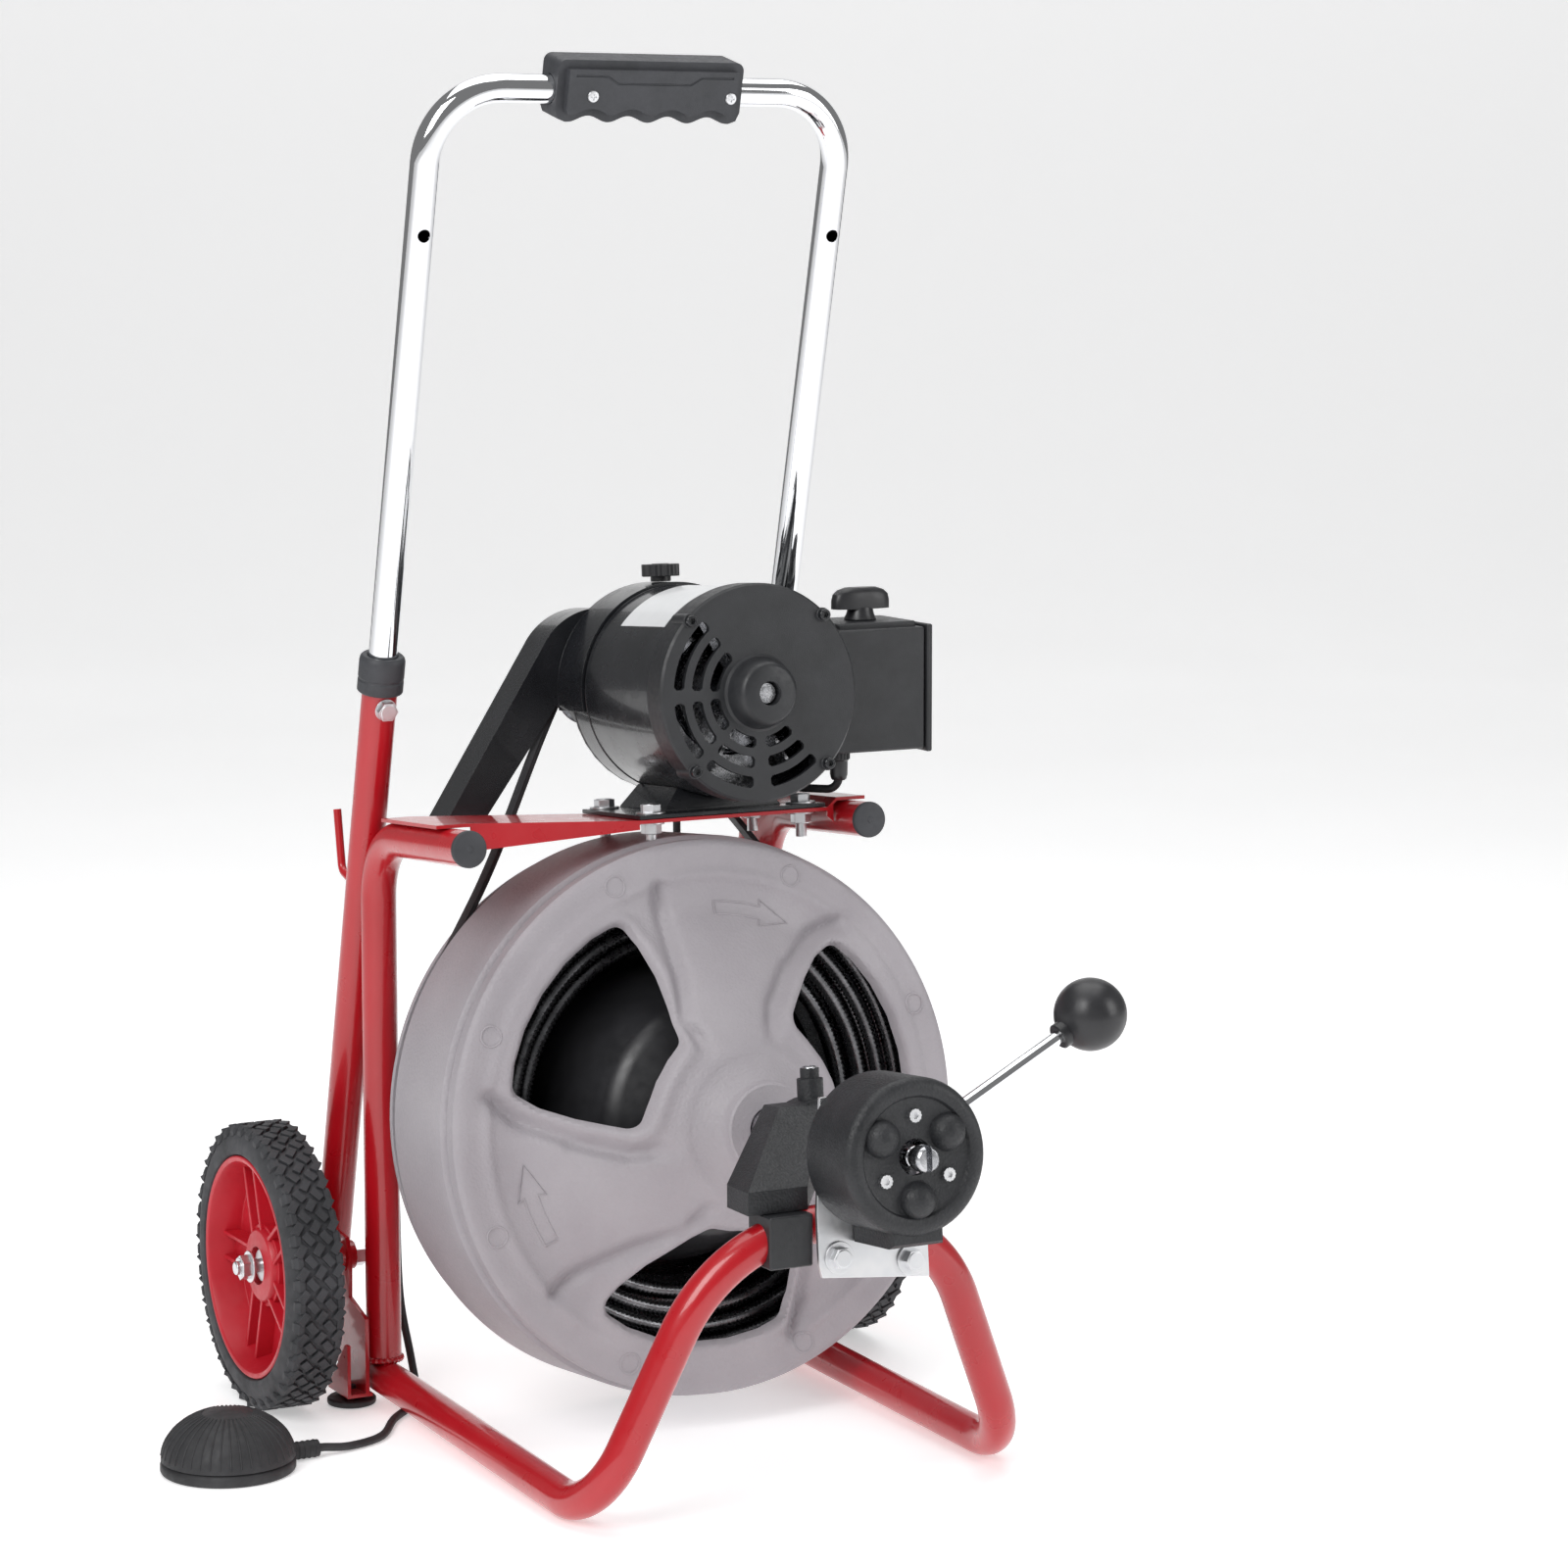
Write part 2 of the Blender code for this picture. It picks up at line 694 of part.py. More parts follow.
def egg(radius_left, radius_right, low, high):
    """A prism round the two gear axes."""
    left = placed(disc(radius_left, low, high), Matrix.Translation((-GEAR_OFFSET, 0, 0)))
    return hull(left, disc(radius_right, low, high))


def build_gear_case():
    """It closes the motor's rear. The rotor's pinion drives the output gear in its egg-shaped pocket."""
    case = union(disc(MOTOR_R, -152, -148.3, sides=36), egg(30.3, 24, -MOTOR_LENGTH, -151))
    pocket = egg(28.5, 21, -164.5, -140)
    bore = placed(disc(8.3, -180, -150, sides=20), Matrix.Translation((-GEAR_OFFSET, 0, 0)))
    publish("gear_case", placed(cut(case, pocket, bore), MOTOR), "black_paint")


def build_motor_inside():
    """The rotor with its fan and pinion on one shaft, and the stator round it."""
    shaft = disc(8, -160, 11, sides=20, edge=1)
    core = disc(44, -130, -45, sides=28, edge=3)
    hub = disc(17, -33, -14, sides=20)
    blades = [block((14, 62), (-1.2, 1.2), (-32, -15)) for _ in range(6)]
    for k, blade in enumerate(blades):
        placed(blade, Matrix.Rotation(TURN * k / 6, 4, "Z"))
    rotor = union(shaft, core, gear(PINION_TEETH, -161, -152), hub, *blades)
    publish("rotor_shaft", placed(rotor, MOTOR), "zinc", MOTOR.translation)
    stator = disc(71.5, -128, -47, bore=45.5, sides=28)
    publish("motor_stator", placed(stator, MOTOR), "zinc")


def output_frame():
    """The gear case's output axis, on the pulley's middle plane."""
    return MOTOR @ Matrix.Translation(PULLEY_AT)


def build_output():
    """The output shaft with its gear, and the small grooved pulley outside the case."""
    frame = output_frame()
    wheel = placed(gear(GEAR_TEETH, 20, 29.5), Matrix.Rotation(math.pi / GEAR_TEETH, 4, "Z"))
    shaft = disc(8, -12, 22, sides=20, edge=1)
    publish("output_shaft", placed(union(shaft, wheel), frame), "zinc", frame.translation)
    rim = PULLEY_R + 6
    half = PULLEY_HALF
    front = [(8.3, half + 1.8), (rim, half + 1.8), (rim, half + 0.8), (PULLEY_R, half)]
    profile = front + [(radius, -height) for radius, height in reversed(front)]
    publish("motor_pulley", placed(lathe(profile, 24), frame), "zinc", frame.translation)


def belt_arc(frame, radius, first, last, steps):
    """(point, outward, sideways) along the belt where it lies on the drum or the pulley."""
    sideways = frame.to_3x3() @ Vector((0, 0, 1))
    placed_on = []
    for k in range(steps + 1):
        angle = first + (last - first) * k / steps
        outward = frame.to_3x3() @ Vector((math.cos(angle), math.sin(angle), 0))
        placed_on.append((frame.translation + (radius + GAP) * outward, outward, sideways))
    return placed_on


def belt_strand(start, end):
    """The free run: it leaves the drum in the groove's plane, then drifts to the pulley's plane."""
    sideways = start[2]
    run = end[0] - start[0]
    drift = run.dot(sideways)
    strand = []
    for k in range(1, STRAND_STEPS):
        share = k / STRAND_STEPS
        ease = max(0, (share - BELT_IN_PLANE) / (1 - BELT_IN_PLANE))
        ease = ease * ease * (3 - 2 * ease)
        point = start[0] + (run - drift * sideways) * share + drift * ease * sideways
        outward = start[1].lerp(end[1], ease).normalized()
        strand.append((point, outward, start[2].lerp(end[2], ease).normalized()))
    return strand


def belt_route():
    """The whole loop: round the drum, up to the pulley, over it and down again."""
    drum = DRUM @ Matrix.Translation((0, 0, BELT_H))
    pulley = output_frame()
    across = pulley.translation - drum.translation
    rise = math.atan2(across.z, across.x)
    spread = math.acos((BELT_R - PULLEY_R) / math.hypot(across.x, across.z))
    low = belt_arc(drum, BELT_R, rise + spread, rise - spread + TURN, 40)
    high = belt_arc(pulley, PULLEY_R, rise - spread, rise + spread, 8)
    left = belt_strand(low[0], high[-1])
    right = belt_strand(low[-1], high[0])
    return low + right + high + left[::-1]


def build_belt():
    """A flat belt: it lies in the drum's groove and in the pulley's, and hangs free between them."""
    mesh = bmesh.new()
    rings = []
    for point, outward, sideways in belt_route():
        inner, outer = BELT_HALF
        corners = ((0, -inner), (0, inner), (BELT_THICK, outer), (BELT_THICK, -outer))
        rings.append([mesh.verts.new(point + outward * up + sideways * side) for up, side in corners])
    for a, b in zip(rings, rings[1:] + rings[:1]):
        for k in range(4):
            mesh.faces.new((a[k], a[(k + 1) % 4], b[(k + 1) % 4], b[k]))
    publish("drive_belt", oriented(mesh), "rubber")


GUARD_FRONT = -168.4
GUARD_REAR = -203
GUARD_HEAD = (-43, 8)
GUARD_HEAD_R = 52
GUARD_TIP = (-169, -88)
GUARD_HEEL = (-138, -88)
GUARD_INSIDE = (-79, -10)


def guard_outline(inset=0, drop=0):
    """The guard in the motor's frame: a round head over the pulley and a leg along the belt."""
    head = arc(GUARD_HEAD_R - inset, 15, 149, 12, GUARD_HEAD)
    return head + [
        (GUARD_TIP[0] + 1.2 * inset - 0.6 * drop, GUARD_TIP[1] - drop),
        (GUARD_HEEL[0] + 0.6 * inset, GUARD_HEEL[1] - drop),
        (GUARD_INSIDE[0], GUARD_INSIDE[1] - 2 * drop),
        (head[0][0], GUARD_INSIDE[1] - 2 * drop),
    ]


def build_belt_guard():
    """Sheet metal: a front panel, an outer wall over the belt and a band round the motor's shell."""
    body = prism(guard_outline(), GUARD_REAR, GUARD_FRONT)
    hollow = prism(guard_outline(2, 30), GUARD_REAR - 10, GUARD_FRONT - 2)
    band = prism(arc(77.5, 62, 190, 14) + arc(MOTOR_R + GAP, 190, 62, 14), -170, -128)
    output = placed(disc(8.6, -20, 30, sides=20), Matrix.Translation(PULLEY_AT))
    publish("belt_guard", placed(union(cut(body, hollow, output), band), MOTOR), "black_paint")


def build_star_knob():
    """It clamps the guard's band to the motor."""
    lobes = [polar(14.5 if k % 2 else 12, 22.5 * k) for k in range(16)]
    knob = union(prism(lobes, 4, 13), disc(7.5, GAP, 5, sides=16))
    seat = MOTOR @ Vector((0, 77.5, -150))
    placed(knob, Matrix.Translation(seat) @ Matrix.Rotation(-MOTOR_TILT, 4, "X"))
    publish("guard_star_knob", knob, "black_plastic", seat)


# ---------------------------------------------------------------- switch box


BOX_X = (141, 216)
BOX_Y = (-138, -72)
BOX_Z = (472, 561)
SWITCH_AT = (180, -105)


def build_switch_box():
    """A box on the side of the motor's shell with the switch plate on top and a hose nipple behind."""
    box = block(BOX_X, BOX_Y, BOX_Z, 1.5)
    plate = block((148, 212), (-131, -79), (BOX_Z[1] - 1, BOX_Z[1] + 4), 1)
    neck = block((118, 145), (-125, -85), (500, 540))
    nipple = rod((188, -75, 520), (188, -56, 520), 4.6, sides=16)
    shell = placed(disc(MOTOR_R + GAP, -190, 10, sides=48), MOTOR)
    inside = block((146, 220), (-133, -77), (477, 556))
    spindle = rod((*SWITCH_AT, 550), (*SWITCH_AT, 570), 7, sides=16)
    gland = rod((152, -124, 460), (152, -124, 480), 4.4, sides=16)
    air = rod((188, -80, 520), (188, -50, 520), HOSE_R + GAP, sides=12)
    box = cut(union(box, plate, neck, nipple), shell, inside, spindle, gland, air)
    publish("switch_box", box, "black_paint")
    cover = block((216 + GAP, 221), (-140, -70), (470, 563), 1)
    publish("switch_box_cover", cover, "black_paint")


def build_switch_knob():
    """A pointer knob: forward, off and reverse."""
    centre = Vector((*SWITCH_AT, BOX_Z[1] + 4 + GAP))
    stem = disc(9, 0, 9, sides=24)
    spindle = disc(6.5, -14, 1, sides=16)
    wing = prism(rounded_outline([(-23, -8), (23, -8), (23, 8), (-23, 8)], 7, 2), 8, 24)
    knob = placed(union(stem, spindle, wing), Matrix.Translation(centre))
    publish("switch_knob", knob, "black_plastic", centre)


def build_gland_and_lead():
    """The gland under the box and the short lead from it to the motor's underside."""
    top = (152, -124, 471.5)
    outside = [(4.1, 3), (4.1, 0), (8, 0), (8, -5), (6.4, -6), (6.4, -17), (5, -20)]
    gland = lathe([(3.5, 3)] + outside + [(3.5, -20)], 14)
    publish("cable_gland", placed(gland, Matrix.Translation(top)), "black_plastic")
    seat, beside = (MOTOR @ Vector((*polar(r, -52), -78)) for r in (MOTOR_R + 0.7, 88))
    route = [(152, -124, 466), (152, -124, 444.5), (132, -104, 444.5), beside, seat]
    lead = sweep(rounded_route(route, [5, 5, 3], 3), 3, sides=8)
    publish("motor_lead", lead, "rubber")


# ---------------------------------------------------------------- drum


def build_drum():
    front = lathe(
        [
            (DRUM_R, -99), (DRUM_R, -20), (196.5, -16), (196.5, -4), (190, 0), (150, 0), (50, 70),
            (32, 82), (32, 92), (15.3, 92), (15.3, 77), (49, 64), (148, -4), (193.5, -4), (193.5, -99),
        ],
        40,
    )
    windows = []
    for angle in WINDOW_ANGLES:
        corners = [polar(r, angle + a) for r, a in WINDOW_CORNERS]
        windows.append(prism(rounded_outline(corners, WINDOW_ROUND, 2), -12, 110))
    publish("drum_front_shell", placed(cut(front, *windows), DRUM), "drum_plastic", DRUM.translation)
    rear = lathe(
        [
            (193, -86), (193, -99.3), (196.5, -99.3), (BELT_R, -101.6), (BELT_R, -116.6),
            (194.5, -117), (194.5, -121), (60, -121), (30, -130), (30, -142), (10.3, -142),
            (10.3, -117), (184, -117), (184, -86),
        ],
        40,
    )
    publish("drum_rear_shell", placed(rear, DRUM), "drum_plastic", DRUM.translation)


def build_drum_inside():
    """The dark cone that the cable winds round, the coiled cable, and the tube that leads it out."""
    cone = lathe(
        [
            (10.3, -116.7), (112, -116.7), (108, -60), (84, 8), (40, 30), (38, 27), (80, 5),
            (104, -61), (107, -112), (10.3, -112),
        ],
        24,
    )
    publish("drum_inner_cone", placed(cone, DRUM), "black_plastic", DRUM.translation)
    coil = lathe([(116, -114), (183, -114), (183, -40), (150, -16), (116, -40)], 28)
    publish("cable_coil", placed(coil, DRUM), "spring_steel", DRUM.translation)
    nose = lathe([(11, 60), (14.8, 60), (14.8, 77), (15, 77), (15, 230), (11, 230)], 24)
    publish("nose_tube", placed(nose, DRUM), "zinc", DRUM.translation)


def build_cable_end():
    """The straight end of the cable: it runs through the nose tube and the feed unit to its coupling."""
    end = lathe(
        [(0, 62), (6, 62), (6, 286), (7.5, 288), (7.5, 298), (9, 299), (9, 308), (7, 311), (0, 311)], 16
    )
    slot = block((-2, 2), (-12, 12), (302, 320))
    publish("cable_end", placed(cut(end, slot), DRUM), "spring_steel", DRUM.translation)


# ---------------------------------------------------------------- feed unit


ARM_RING_H = (140, 164)


def build_support_arm():
    """A casting: its ring carries the drum's nose tube, and its foot stands on the saddle clamp."""
    ring = disc(27, *ARM_RING_H, sides=28)
    boss = rod((0, 20, 152), (0, 40, 152), 9, sides=16)
    set_screw = rod((0, 36, 152), (0, 47, 152), 6.5, sides=16)
    shoulder = placed(block((-30, 0), (-24, 24), (ARM_RING_H[0] + 1, ARM_RING_H[1] - 1)), DRUM)
    foot = block((-62, -18), (-392, -362), (208.5, 224))
    arm = union(placed(ring, DRUM), hull(shoulder, foot), placed(boss, DRUM), placed(set_screw, DRUM))
    bore = placed(disc(15 + GAP, 100, 230, sides=28), DRUM)
    tube = sweep(base_frame_route(), TUBE_R + GAP)
    publish("support_arm", cut(arm, bore, tube), "black_paint")


def build_saddle():
    """The block clamped round the top of the front loop."""
    saddle = block((-51, -19), (-402, -371), (173, 208), 1)
    publish("saddle_clamp", cut(saddle, sweep(base_frame_route(), TUBE_R + GAP)), "black_plastic")


def build_feed_bracket():
    """The zinc plate in front of the loop, which carries the feed unit."""
    outline = [
        (-44, -80), (36, -88), (36, -62), (30, -40), (30, 38), (-40, 38), (-46, -36), (-46, -72),
    ]
    plate = placed(prism(outline, 237.2, 240.4), DRUM)
    cable_hole = placed(disc(16, 200, 260, sides=24), DRUM)
    tube = sweep(base_frame_route(), TUBE_R + GAP)
    saddle = block((-51 - GAP, -19 + GAP), (-402 - GAP, -371 + GAP), (173 - GAP, 208 + GAP))
    publish("feed_bracket", cut(plate, cable_hole, tube, saddle), "zinc")


def build_feed_housing():
    """A deep cup round the cable: three domes over the rollers, and a slot in its side for the lever."""
    cup = lathe(
        [
            (0, FEED_REAR), (FEED_R, FEED_REAR), (FEED_R, FEED_FACE - 5), (47, FEED_FACE), (41, FEED_FACE),
            (39, FEED_FACE - 1.5), (0, FEED_FACE - 1.5),
        ],
        28,
    )
    domes = [ball(12.7, (*polar(28, a), FEED_FACE - 4.5), 6, 12) for a in (30, 150, 270)]
    tab = block((-20, 20), (-59, -45), (FEED_REAR + 1, FEED_FACE - 6))
    inside = disc(47.9, FEED_REAR - 20, FEED_FACE - 5, sides=28)
    opening = [polar(40, 0), polar(62, 0), polar(62, 27), polar(62, 54), polar(40, 54)]
    slot = prism(opening, LEVER_H - 6, LEVER_H + 6)
    bore = disc(12, FEED_REAR, FEED_FACE + 10, sides=18)
    housing = cut(union(cup, tab, *domes), inside, slot, bore)
    publish("feed_housing", placed(housing, DRUM), "black_paint")


def build_rollers():
    """Three rollers round the cable, each on its own skewed pin."""
    for number, angle in enumerate((30, 150, 270), 1):
        centre = DRUM @ Vector((*polar(19, angle), 266))
        skew = Matrix.Rotation(math.radians(angle), 4, "Z") @ Matrix.Rotation(math.radians(20), 4, "X")
        roller = union(disc(9.5, -8, 8, sides=16), disc(3.5, -15, 15, sides=10))
        placed(roller, Matrix.Translation(centre) @ DRUM.to_3x3().to_4x4() @ skew)
        publish(f"feed_roller_{number}", roller, "zinc", centre)


def lever_point(distance):
    return Vector((distance * math.cos(LEVER_ANGLE), distance * math.sin(LEVER_ANGLE), LEVER_H))


def build_lever():
    """The cam ring in the housing turns with the lever."""
    pivot = DRUM @ Vector((0, 0, LEVER_H))
    ring = disc(46.5, LEVER_H - 14, LEVER_H + 14, bore=38, sides=24)
    lever = union(ring, rod(lever_point(42), lever_point(BALL_AT - 8), 4.7, sides=16))
    publish("feed_lever", placed(lever, DRUM), "chrome", pivot)
    neck = rod(lever_point(142), lever_point(152), 9, sides=20)
    knob = union(ball(BALL_R, lever_point(BALL_AT), 8, 16), neck)
    knob = cut(knob, rod(lever_point(130), lever_point(BALL_AT - 7.5), 5, sides=16))
    publish("feed_lever_ball", placed(knob, DRUM), "black_plastic", pivot)


# ---------------------------------------------------------------- foot pedal


def build_pedal():
    """A rubber bellows on a flat base: a step on it sends a puff of air along the hose."""
    at = Matrix.Translation((*PEDAL_AT, 0))
    base = lathe([(0, 0), (45, 0), (46.5, 2), (46.5, 7), (44, 9), (42.5, 9), (42.5, 4), (0, 4)], 24)
    spout = rod((44, 0, 6.5), (66, 0, 6.5), 6, sides=16)
    hole = rod((50, 0, 6.5), (70, 0, 6.5), HOSE_R + GAP, sides=12)
    base = cut(union(base, spout), hole, disc(46 + GAP, 9, 20, sides=32))
    publish("pedal_base", placed(base, at), "rubber")
    bulb = lathe(
        [
            (42, 9.3), (46, 9.3), (45.5, 14), (38, 27), (26, 38), (12, 43), (0, 43.4), (0, 40.8), (11, 40.4),
            (24.5, 35.6), (36, 25.2), (42, 14),
        ],
        24,
    )
    publish("pedal_bulb", placed(bulb, at), "rubber", (*PEDAL_AT, 9))


HOSE_ROUTE = (
    (-264, -106, 6.5), (-248, -106, 6.5), (-226, -104, 3.8), (-196, -90, 3.2), (-172, -55, 3.2),
    (-154, -36, 3.2), (-139, -20, 3.3), (-132, -6, 4), (-128, 8, 9), (-127, 20, 28), (-132, 26, 70),
    (-134, 26, 130), (-134, 26, 190), (-124, 28, 222), (-96, 30, 232), (-40, 30, 233), (30, 34, 233),
    (78, 42, 238), (102, 45, 265), (106, 46, 330), (106, 46, 400), (106, 46, 470), (112, 45, 508),
    (136, 40, 521), (166, 26, 521), (184, 6, 520.5), (188, -20, 520), (188, -48, 520), (188, -62, 520),
)


def smooth_route(points, spacing):
    """Evenly spaced points on a Catmull-Rom curve through the route."""
    points = [Vector(p) for p in points]
    padded = [2 * points[0] - points[1]] + points + [2 * points[-1] - points[-2]]
    fine = []
    for a, b, c, d in zip(padded, padded[1:], padded[2:], padded[3:]):
        for k in range(20):
            t = k / 20
            fine.append(
                0.5 * (2 * b + (c - a) * t + (2 * a - 5 * b + 4 * c - d) * t**2 + (3 * b - a - 3 * c + d) * t**3)
            )
    fine.append(points[-1])
    kept = [fine[0]]
    for point in fine[1:-1]:
        if (point - kept[-1]).length >= spacing:
            kept.append(point)
    return kept + [fine[-1]]


def build_hose():
    """The free air hose from the pedal to the nipple on the back of the switch box."""
    curve = bpy.data.curves.new("air_hose", "CURVE")
    curve.dimensions = "3D"
    curve.bevel_depth = HOSE_R * MM
    curve.bevel_resolution = 2
    curve.use_fill_caps = True
    points = smooth_route(HOSE_ROUTE, 16.5)
    spline = curve.splines.new("POLY")
    spline.points.add(len(points) - 1)
    for slot, point in zip(spline.points, points):
        slot.co = (*((point + CENTRE) * MM), 1)
    hose = bpy.data.objects.new("air_hose", curve)
    hose.data.materials.append(material("rubber"))
    bpy.context.scene.collection.objects.link(hose)


# ---------------------------------------------------------------- assembly


def clear_scene():
    for thing in list(bpy.data.objects):
        bpy.data.objects.remove(thing)


def build_frame_group():
    build_base_frame()
    build_posts()
    build_sockets()
    build_cross_tube()
    build_motor_plate()
    build_wheel_brackets()
    build_feet()
    build_end_caps()
    build_collars()
    build_lock_screws()


def build_drive_group():
    build_motor_base()
    build_motor_shell()
    build_front_bell()
    build_gear_case()
    build_motor_inside()
    build_output()
    build_belt()
    build_belt_guard()
    build_star_knob()
    build_switch_box()
    build_switch_knob()
    build_gland_and_lead()


def build_cable_group():
    build_drum()
    build_drum_inside()
    build_cable_end()
    build_support_arm()
    build_saddle()
    build_feed_bracket()
    build_feed_housing()
    build_rollers()
    build_lever()


def main():
    clear_scene()
    build_frame_group()
    build_handle()
    build_grip()
    build_wheels()
    build_axles()
    build_drive_group()
    build_cable_group()
    build_pedal()
    build_hose()


main()
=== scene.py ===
"""The looks of the drain snake machine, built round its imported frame.

Shapes are drawn in millimetres in the part's drawing frame, with the posts at y = 0, and finished() moves
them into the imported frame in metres. +X is the machine's right, the cable comes out towards -Y and +Z is up.
"""

import json
import math

import bmesh
import bpy
from mathutils import Matrix, Vector


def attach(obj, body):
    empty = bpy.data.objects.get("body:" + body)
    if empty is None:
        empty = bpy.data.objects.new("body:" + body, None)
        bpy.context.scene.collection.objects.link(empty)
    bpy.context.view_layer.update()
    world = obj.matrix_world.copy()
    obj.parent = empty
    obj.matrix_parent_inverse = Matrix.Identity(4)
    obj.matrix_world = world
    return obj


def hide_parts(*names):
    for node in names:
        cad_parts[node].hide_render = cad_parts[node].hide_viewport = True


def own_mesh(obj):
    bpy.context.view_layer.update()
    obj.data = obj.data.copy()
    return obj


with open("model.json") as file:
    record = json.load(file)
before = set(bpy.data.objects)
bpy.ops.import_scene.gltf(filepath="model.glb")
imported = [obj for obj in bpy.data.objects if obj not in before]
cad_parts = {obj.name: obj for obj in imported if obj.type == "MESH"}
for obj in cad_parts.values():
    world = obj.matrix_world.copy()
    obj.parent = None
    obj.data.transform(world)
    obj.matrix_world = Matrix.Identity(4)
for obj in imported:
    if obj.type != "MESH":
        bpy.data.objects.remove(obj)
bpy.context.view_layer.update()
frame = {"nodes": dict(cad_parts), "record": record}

MM = 0.001
WELD = 0.002
GAP = 0.3
CENTRE = Vector((0, 168.1, 0))
TURN = 2 * math.pi
SIDES = (("left", -1), ("right", 1))

# Camera and stage
CAMERA_AT = (-1.30514, -2.61156, 0.84294)
CAMERA_TURN = (83.10, 0, -28.30)
CAMERA_LENS = 97.01
CAMERA_SHIFT = (-0.01374, -0.0245)

# Frame tube
TUBE_R = 12.7
TUBE_BORE = 10.9
RAIL_X = 156
RAIL_REAR = (RAIL_X, 12, 20)
LOOP_FOOT = (158.5, -360, 11.8)
LOOP_TOP = (78, -387.5, 197)
LOOP_FOOT_BEND = 55
LOOP_TOP_BEND = 108
POST_BOTTOM = 33.1
ARM_TILT = math.radians(4)
ARM_FRONT = (-160, 426.7)
ARM_BEND = 48

# Handle and its sockets
LEG_X = 158.5
LEG_LEAN = 0.245
LEG_Y_AT_500 = -8
SOCKET_Z = (62, 521)
SOCKET_BORE = 10.7
HANDLE_R = 10.2
HANDLE_BORE = 8.9
HANDLE_LOW_Z = 470
HANDLE_TOP_Z = 942
HANDLE_BEND = 52
HANDLE_HOLE_Z = 844
LOCK_HOLE_R = 4.6
HOOK_Z = 372
HOOK_ELBOW = Vector((0, 27, 8))
HOOK_TIP = Vector((0, 35, 52))
HOOK_R = 3
LOCK_Z = 512
GRIP_HALF = 71
GRIP_FACE = 19
GRIP_SCREWS = (-46, 60)
GRIP_LINE = ((-60, 13), (-36, 13), (-28, 8), (28, 8), (36, 13), (61, 13))

# Wheels
WHEEL_X = 229.8
WHEEL_Y = 35.5
WHEEL_R = 103.5
WHEEL_WIDTH = 40.4
RIM_R = 80.5
AXLE_R = 5
SPOKES = 5
TREAD_ROWS = 40

# Motor
MOTOR_AT = (62, -172.5, 524)
MOTOR_TILT = math.radians(4)
MOTOR_R = 75
BELL_R = 77
GEAR_OFFSET = 44
PULLEY_R = 20
PULLEY_HALF = 6.8
PULLEY_AT = (-GEAR_OFFSET, 0, -181.5)
VENT_RINGS = ((31, 39), (45, 53), (59, 67))
VENT_SECTORS = ((128, 176), (184, 222), (228, 264), (276, 312))
BELL_SCREW = 52.5

# Motor plate
PLATE_T = 2.5
SEAT_DROP = 6.7
BOLT_SPREAD = (60, 38)
BOLT_CENTRE = (62, 51)

# Switch box
BOX_TOP = 561
COVER_FACE = 220.6
WING_HALF = (23, 8)
WING_POWER = (0.55, 0.8)
SWITCH_AT = (180, -105)

# Drum
DRUM_AT = (26.5, -165, 223.3)
DRUM_TILT = math.radians(5.5)
DRUM_R = 199.5
BELT_R = 188
BELT_H = -110.1
BELT_HALF = (5.4, 6)
BELT_THICK = 4
BELT_IN_PLANE = 0.24
STRAND_STEPS = 40
WINDOW_ANGLES = (24, 144, 264)
WINDOW_CORNERS = (
    (156, -30), (158, -21), (158.5, -12), (158.5, -2), (158, 8), (157, 17), (155, 24), (137, 27.5),
    (116, 30), (96, 32), (80, 34), (76, 22), (75, 8), (75, -5), (76, -17), (94, -24), (116, -29),
    (137, -30.5),
)
WINDOW_ROUND = 9
CREASES = (
    ((168, -43), (148, -42), (110, -37), (84, -26), (62, -26)),
    ((171, 26), (150, 31), (121, 36), (116, 38), (85, 45), (54, 47)),
)
CABLE_R = 6
CABLE_PITCH = 3.6
CABLE_GROOVE = 1.4

# Feed unit
FEED_FACE = 296
FEED_REAR = 240.7
FEED_R = 52
LEVER_ANGLE = math.radians(27)
LEVER_H = 268
BALL_AT = 171
BALL_R = 24.6

# Pedal and hose
PEDAL_AT = (-316, -106)
BULB_FOOT = 9.3
BULB_HEIGHT = 33.6
HOSE_R = 2.9


# ---------------------------------------------------------------- materials


PATTERN_RANGE = (0.3, 0.7)


def new_material(name, colour, roughness, metallic=0.0, coat=0.0):
    """A Principled material whose even values sit on the shader's own sockets."""
    made = bpy.data.materials.new(name)
    made.use_nodes = True
    shader = made.node_tree.nodes["Principled BSDF"]
    shader.inputs["Base Color"].default_value = (*colour, 1)
    shader.inputs["Roughness"].default_value = roughness
    shader.inputs["Metallic"].default_value = metallic
    shader.inputs["Coat Weight"].default_value = coat
    shader.inputs["Coat Roughness"].default_value = 0.06
    return made, shader


def pattern(made, kind, per_metre, detail=2.0, stretch=(1, 1, 1)):
    """A noise or cell pattern in the piece's own coordinates. Returns its value socket."""
    nodes, links = made.node_tree.nodes, made.node_tree.links
    place = nodes.new("ShaderNodeTexCoord")
    mapping = nodes.new("ShaderNodeMapping")
    mapping.inputs["Scale"].default_value = stretch
    links.new(place.outputs["Object"], mapping.inputs["Vector"])
    if kind == "cells":
        texture = nodes.new("ShaderNodeTexVoronoi")
        texture.feature = "SMOOTH_F1"
        output = texture.outputs["Distance"]
    else:
        texture = nodes.new("ShaderNodeTexNoise")
        texture.inputs["Detail"].default_value = detail
        output = texture.outputs["Fac"]
    texture.inputs["Scale"].default_value = per_metre
    links.new(mapping.outputs["Vector"], texture.inputs["Vector"])
    return output


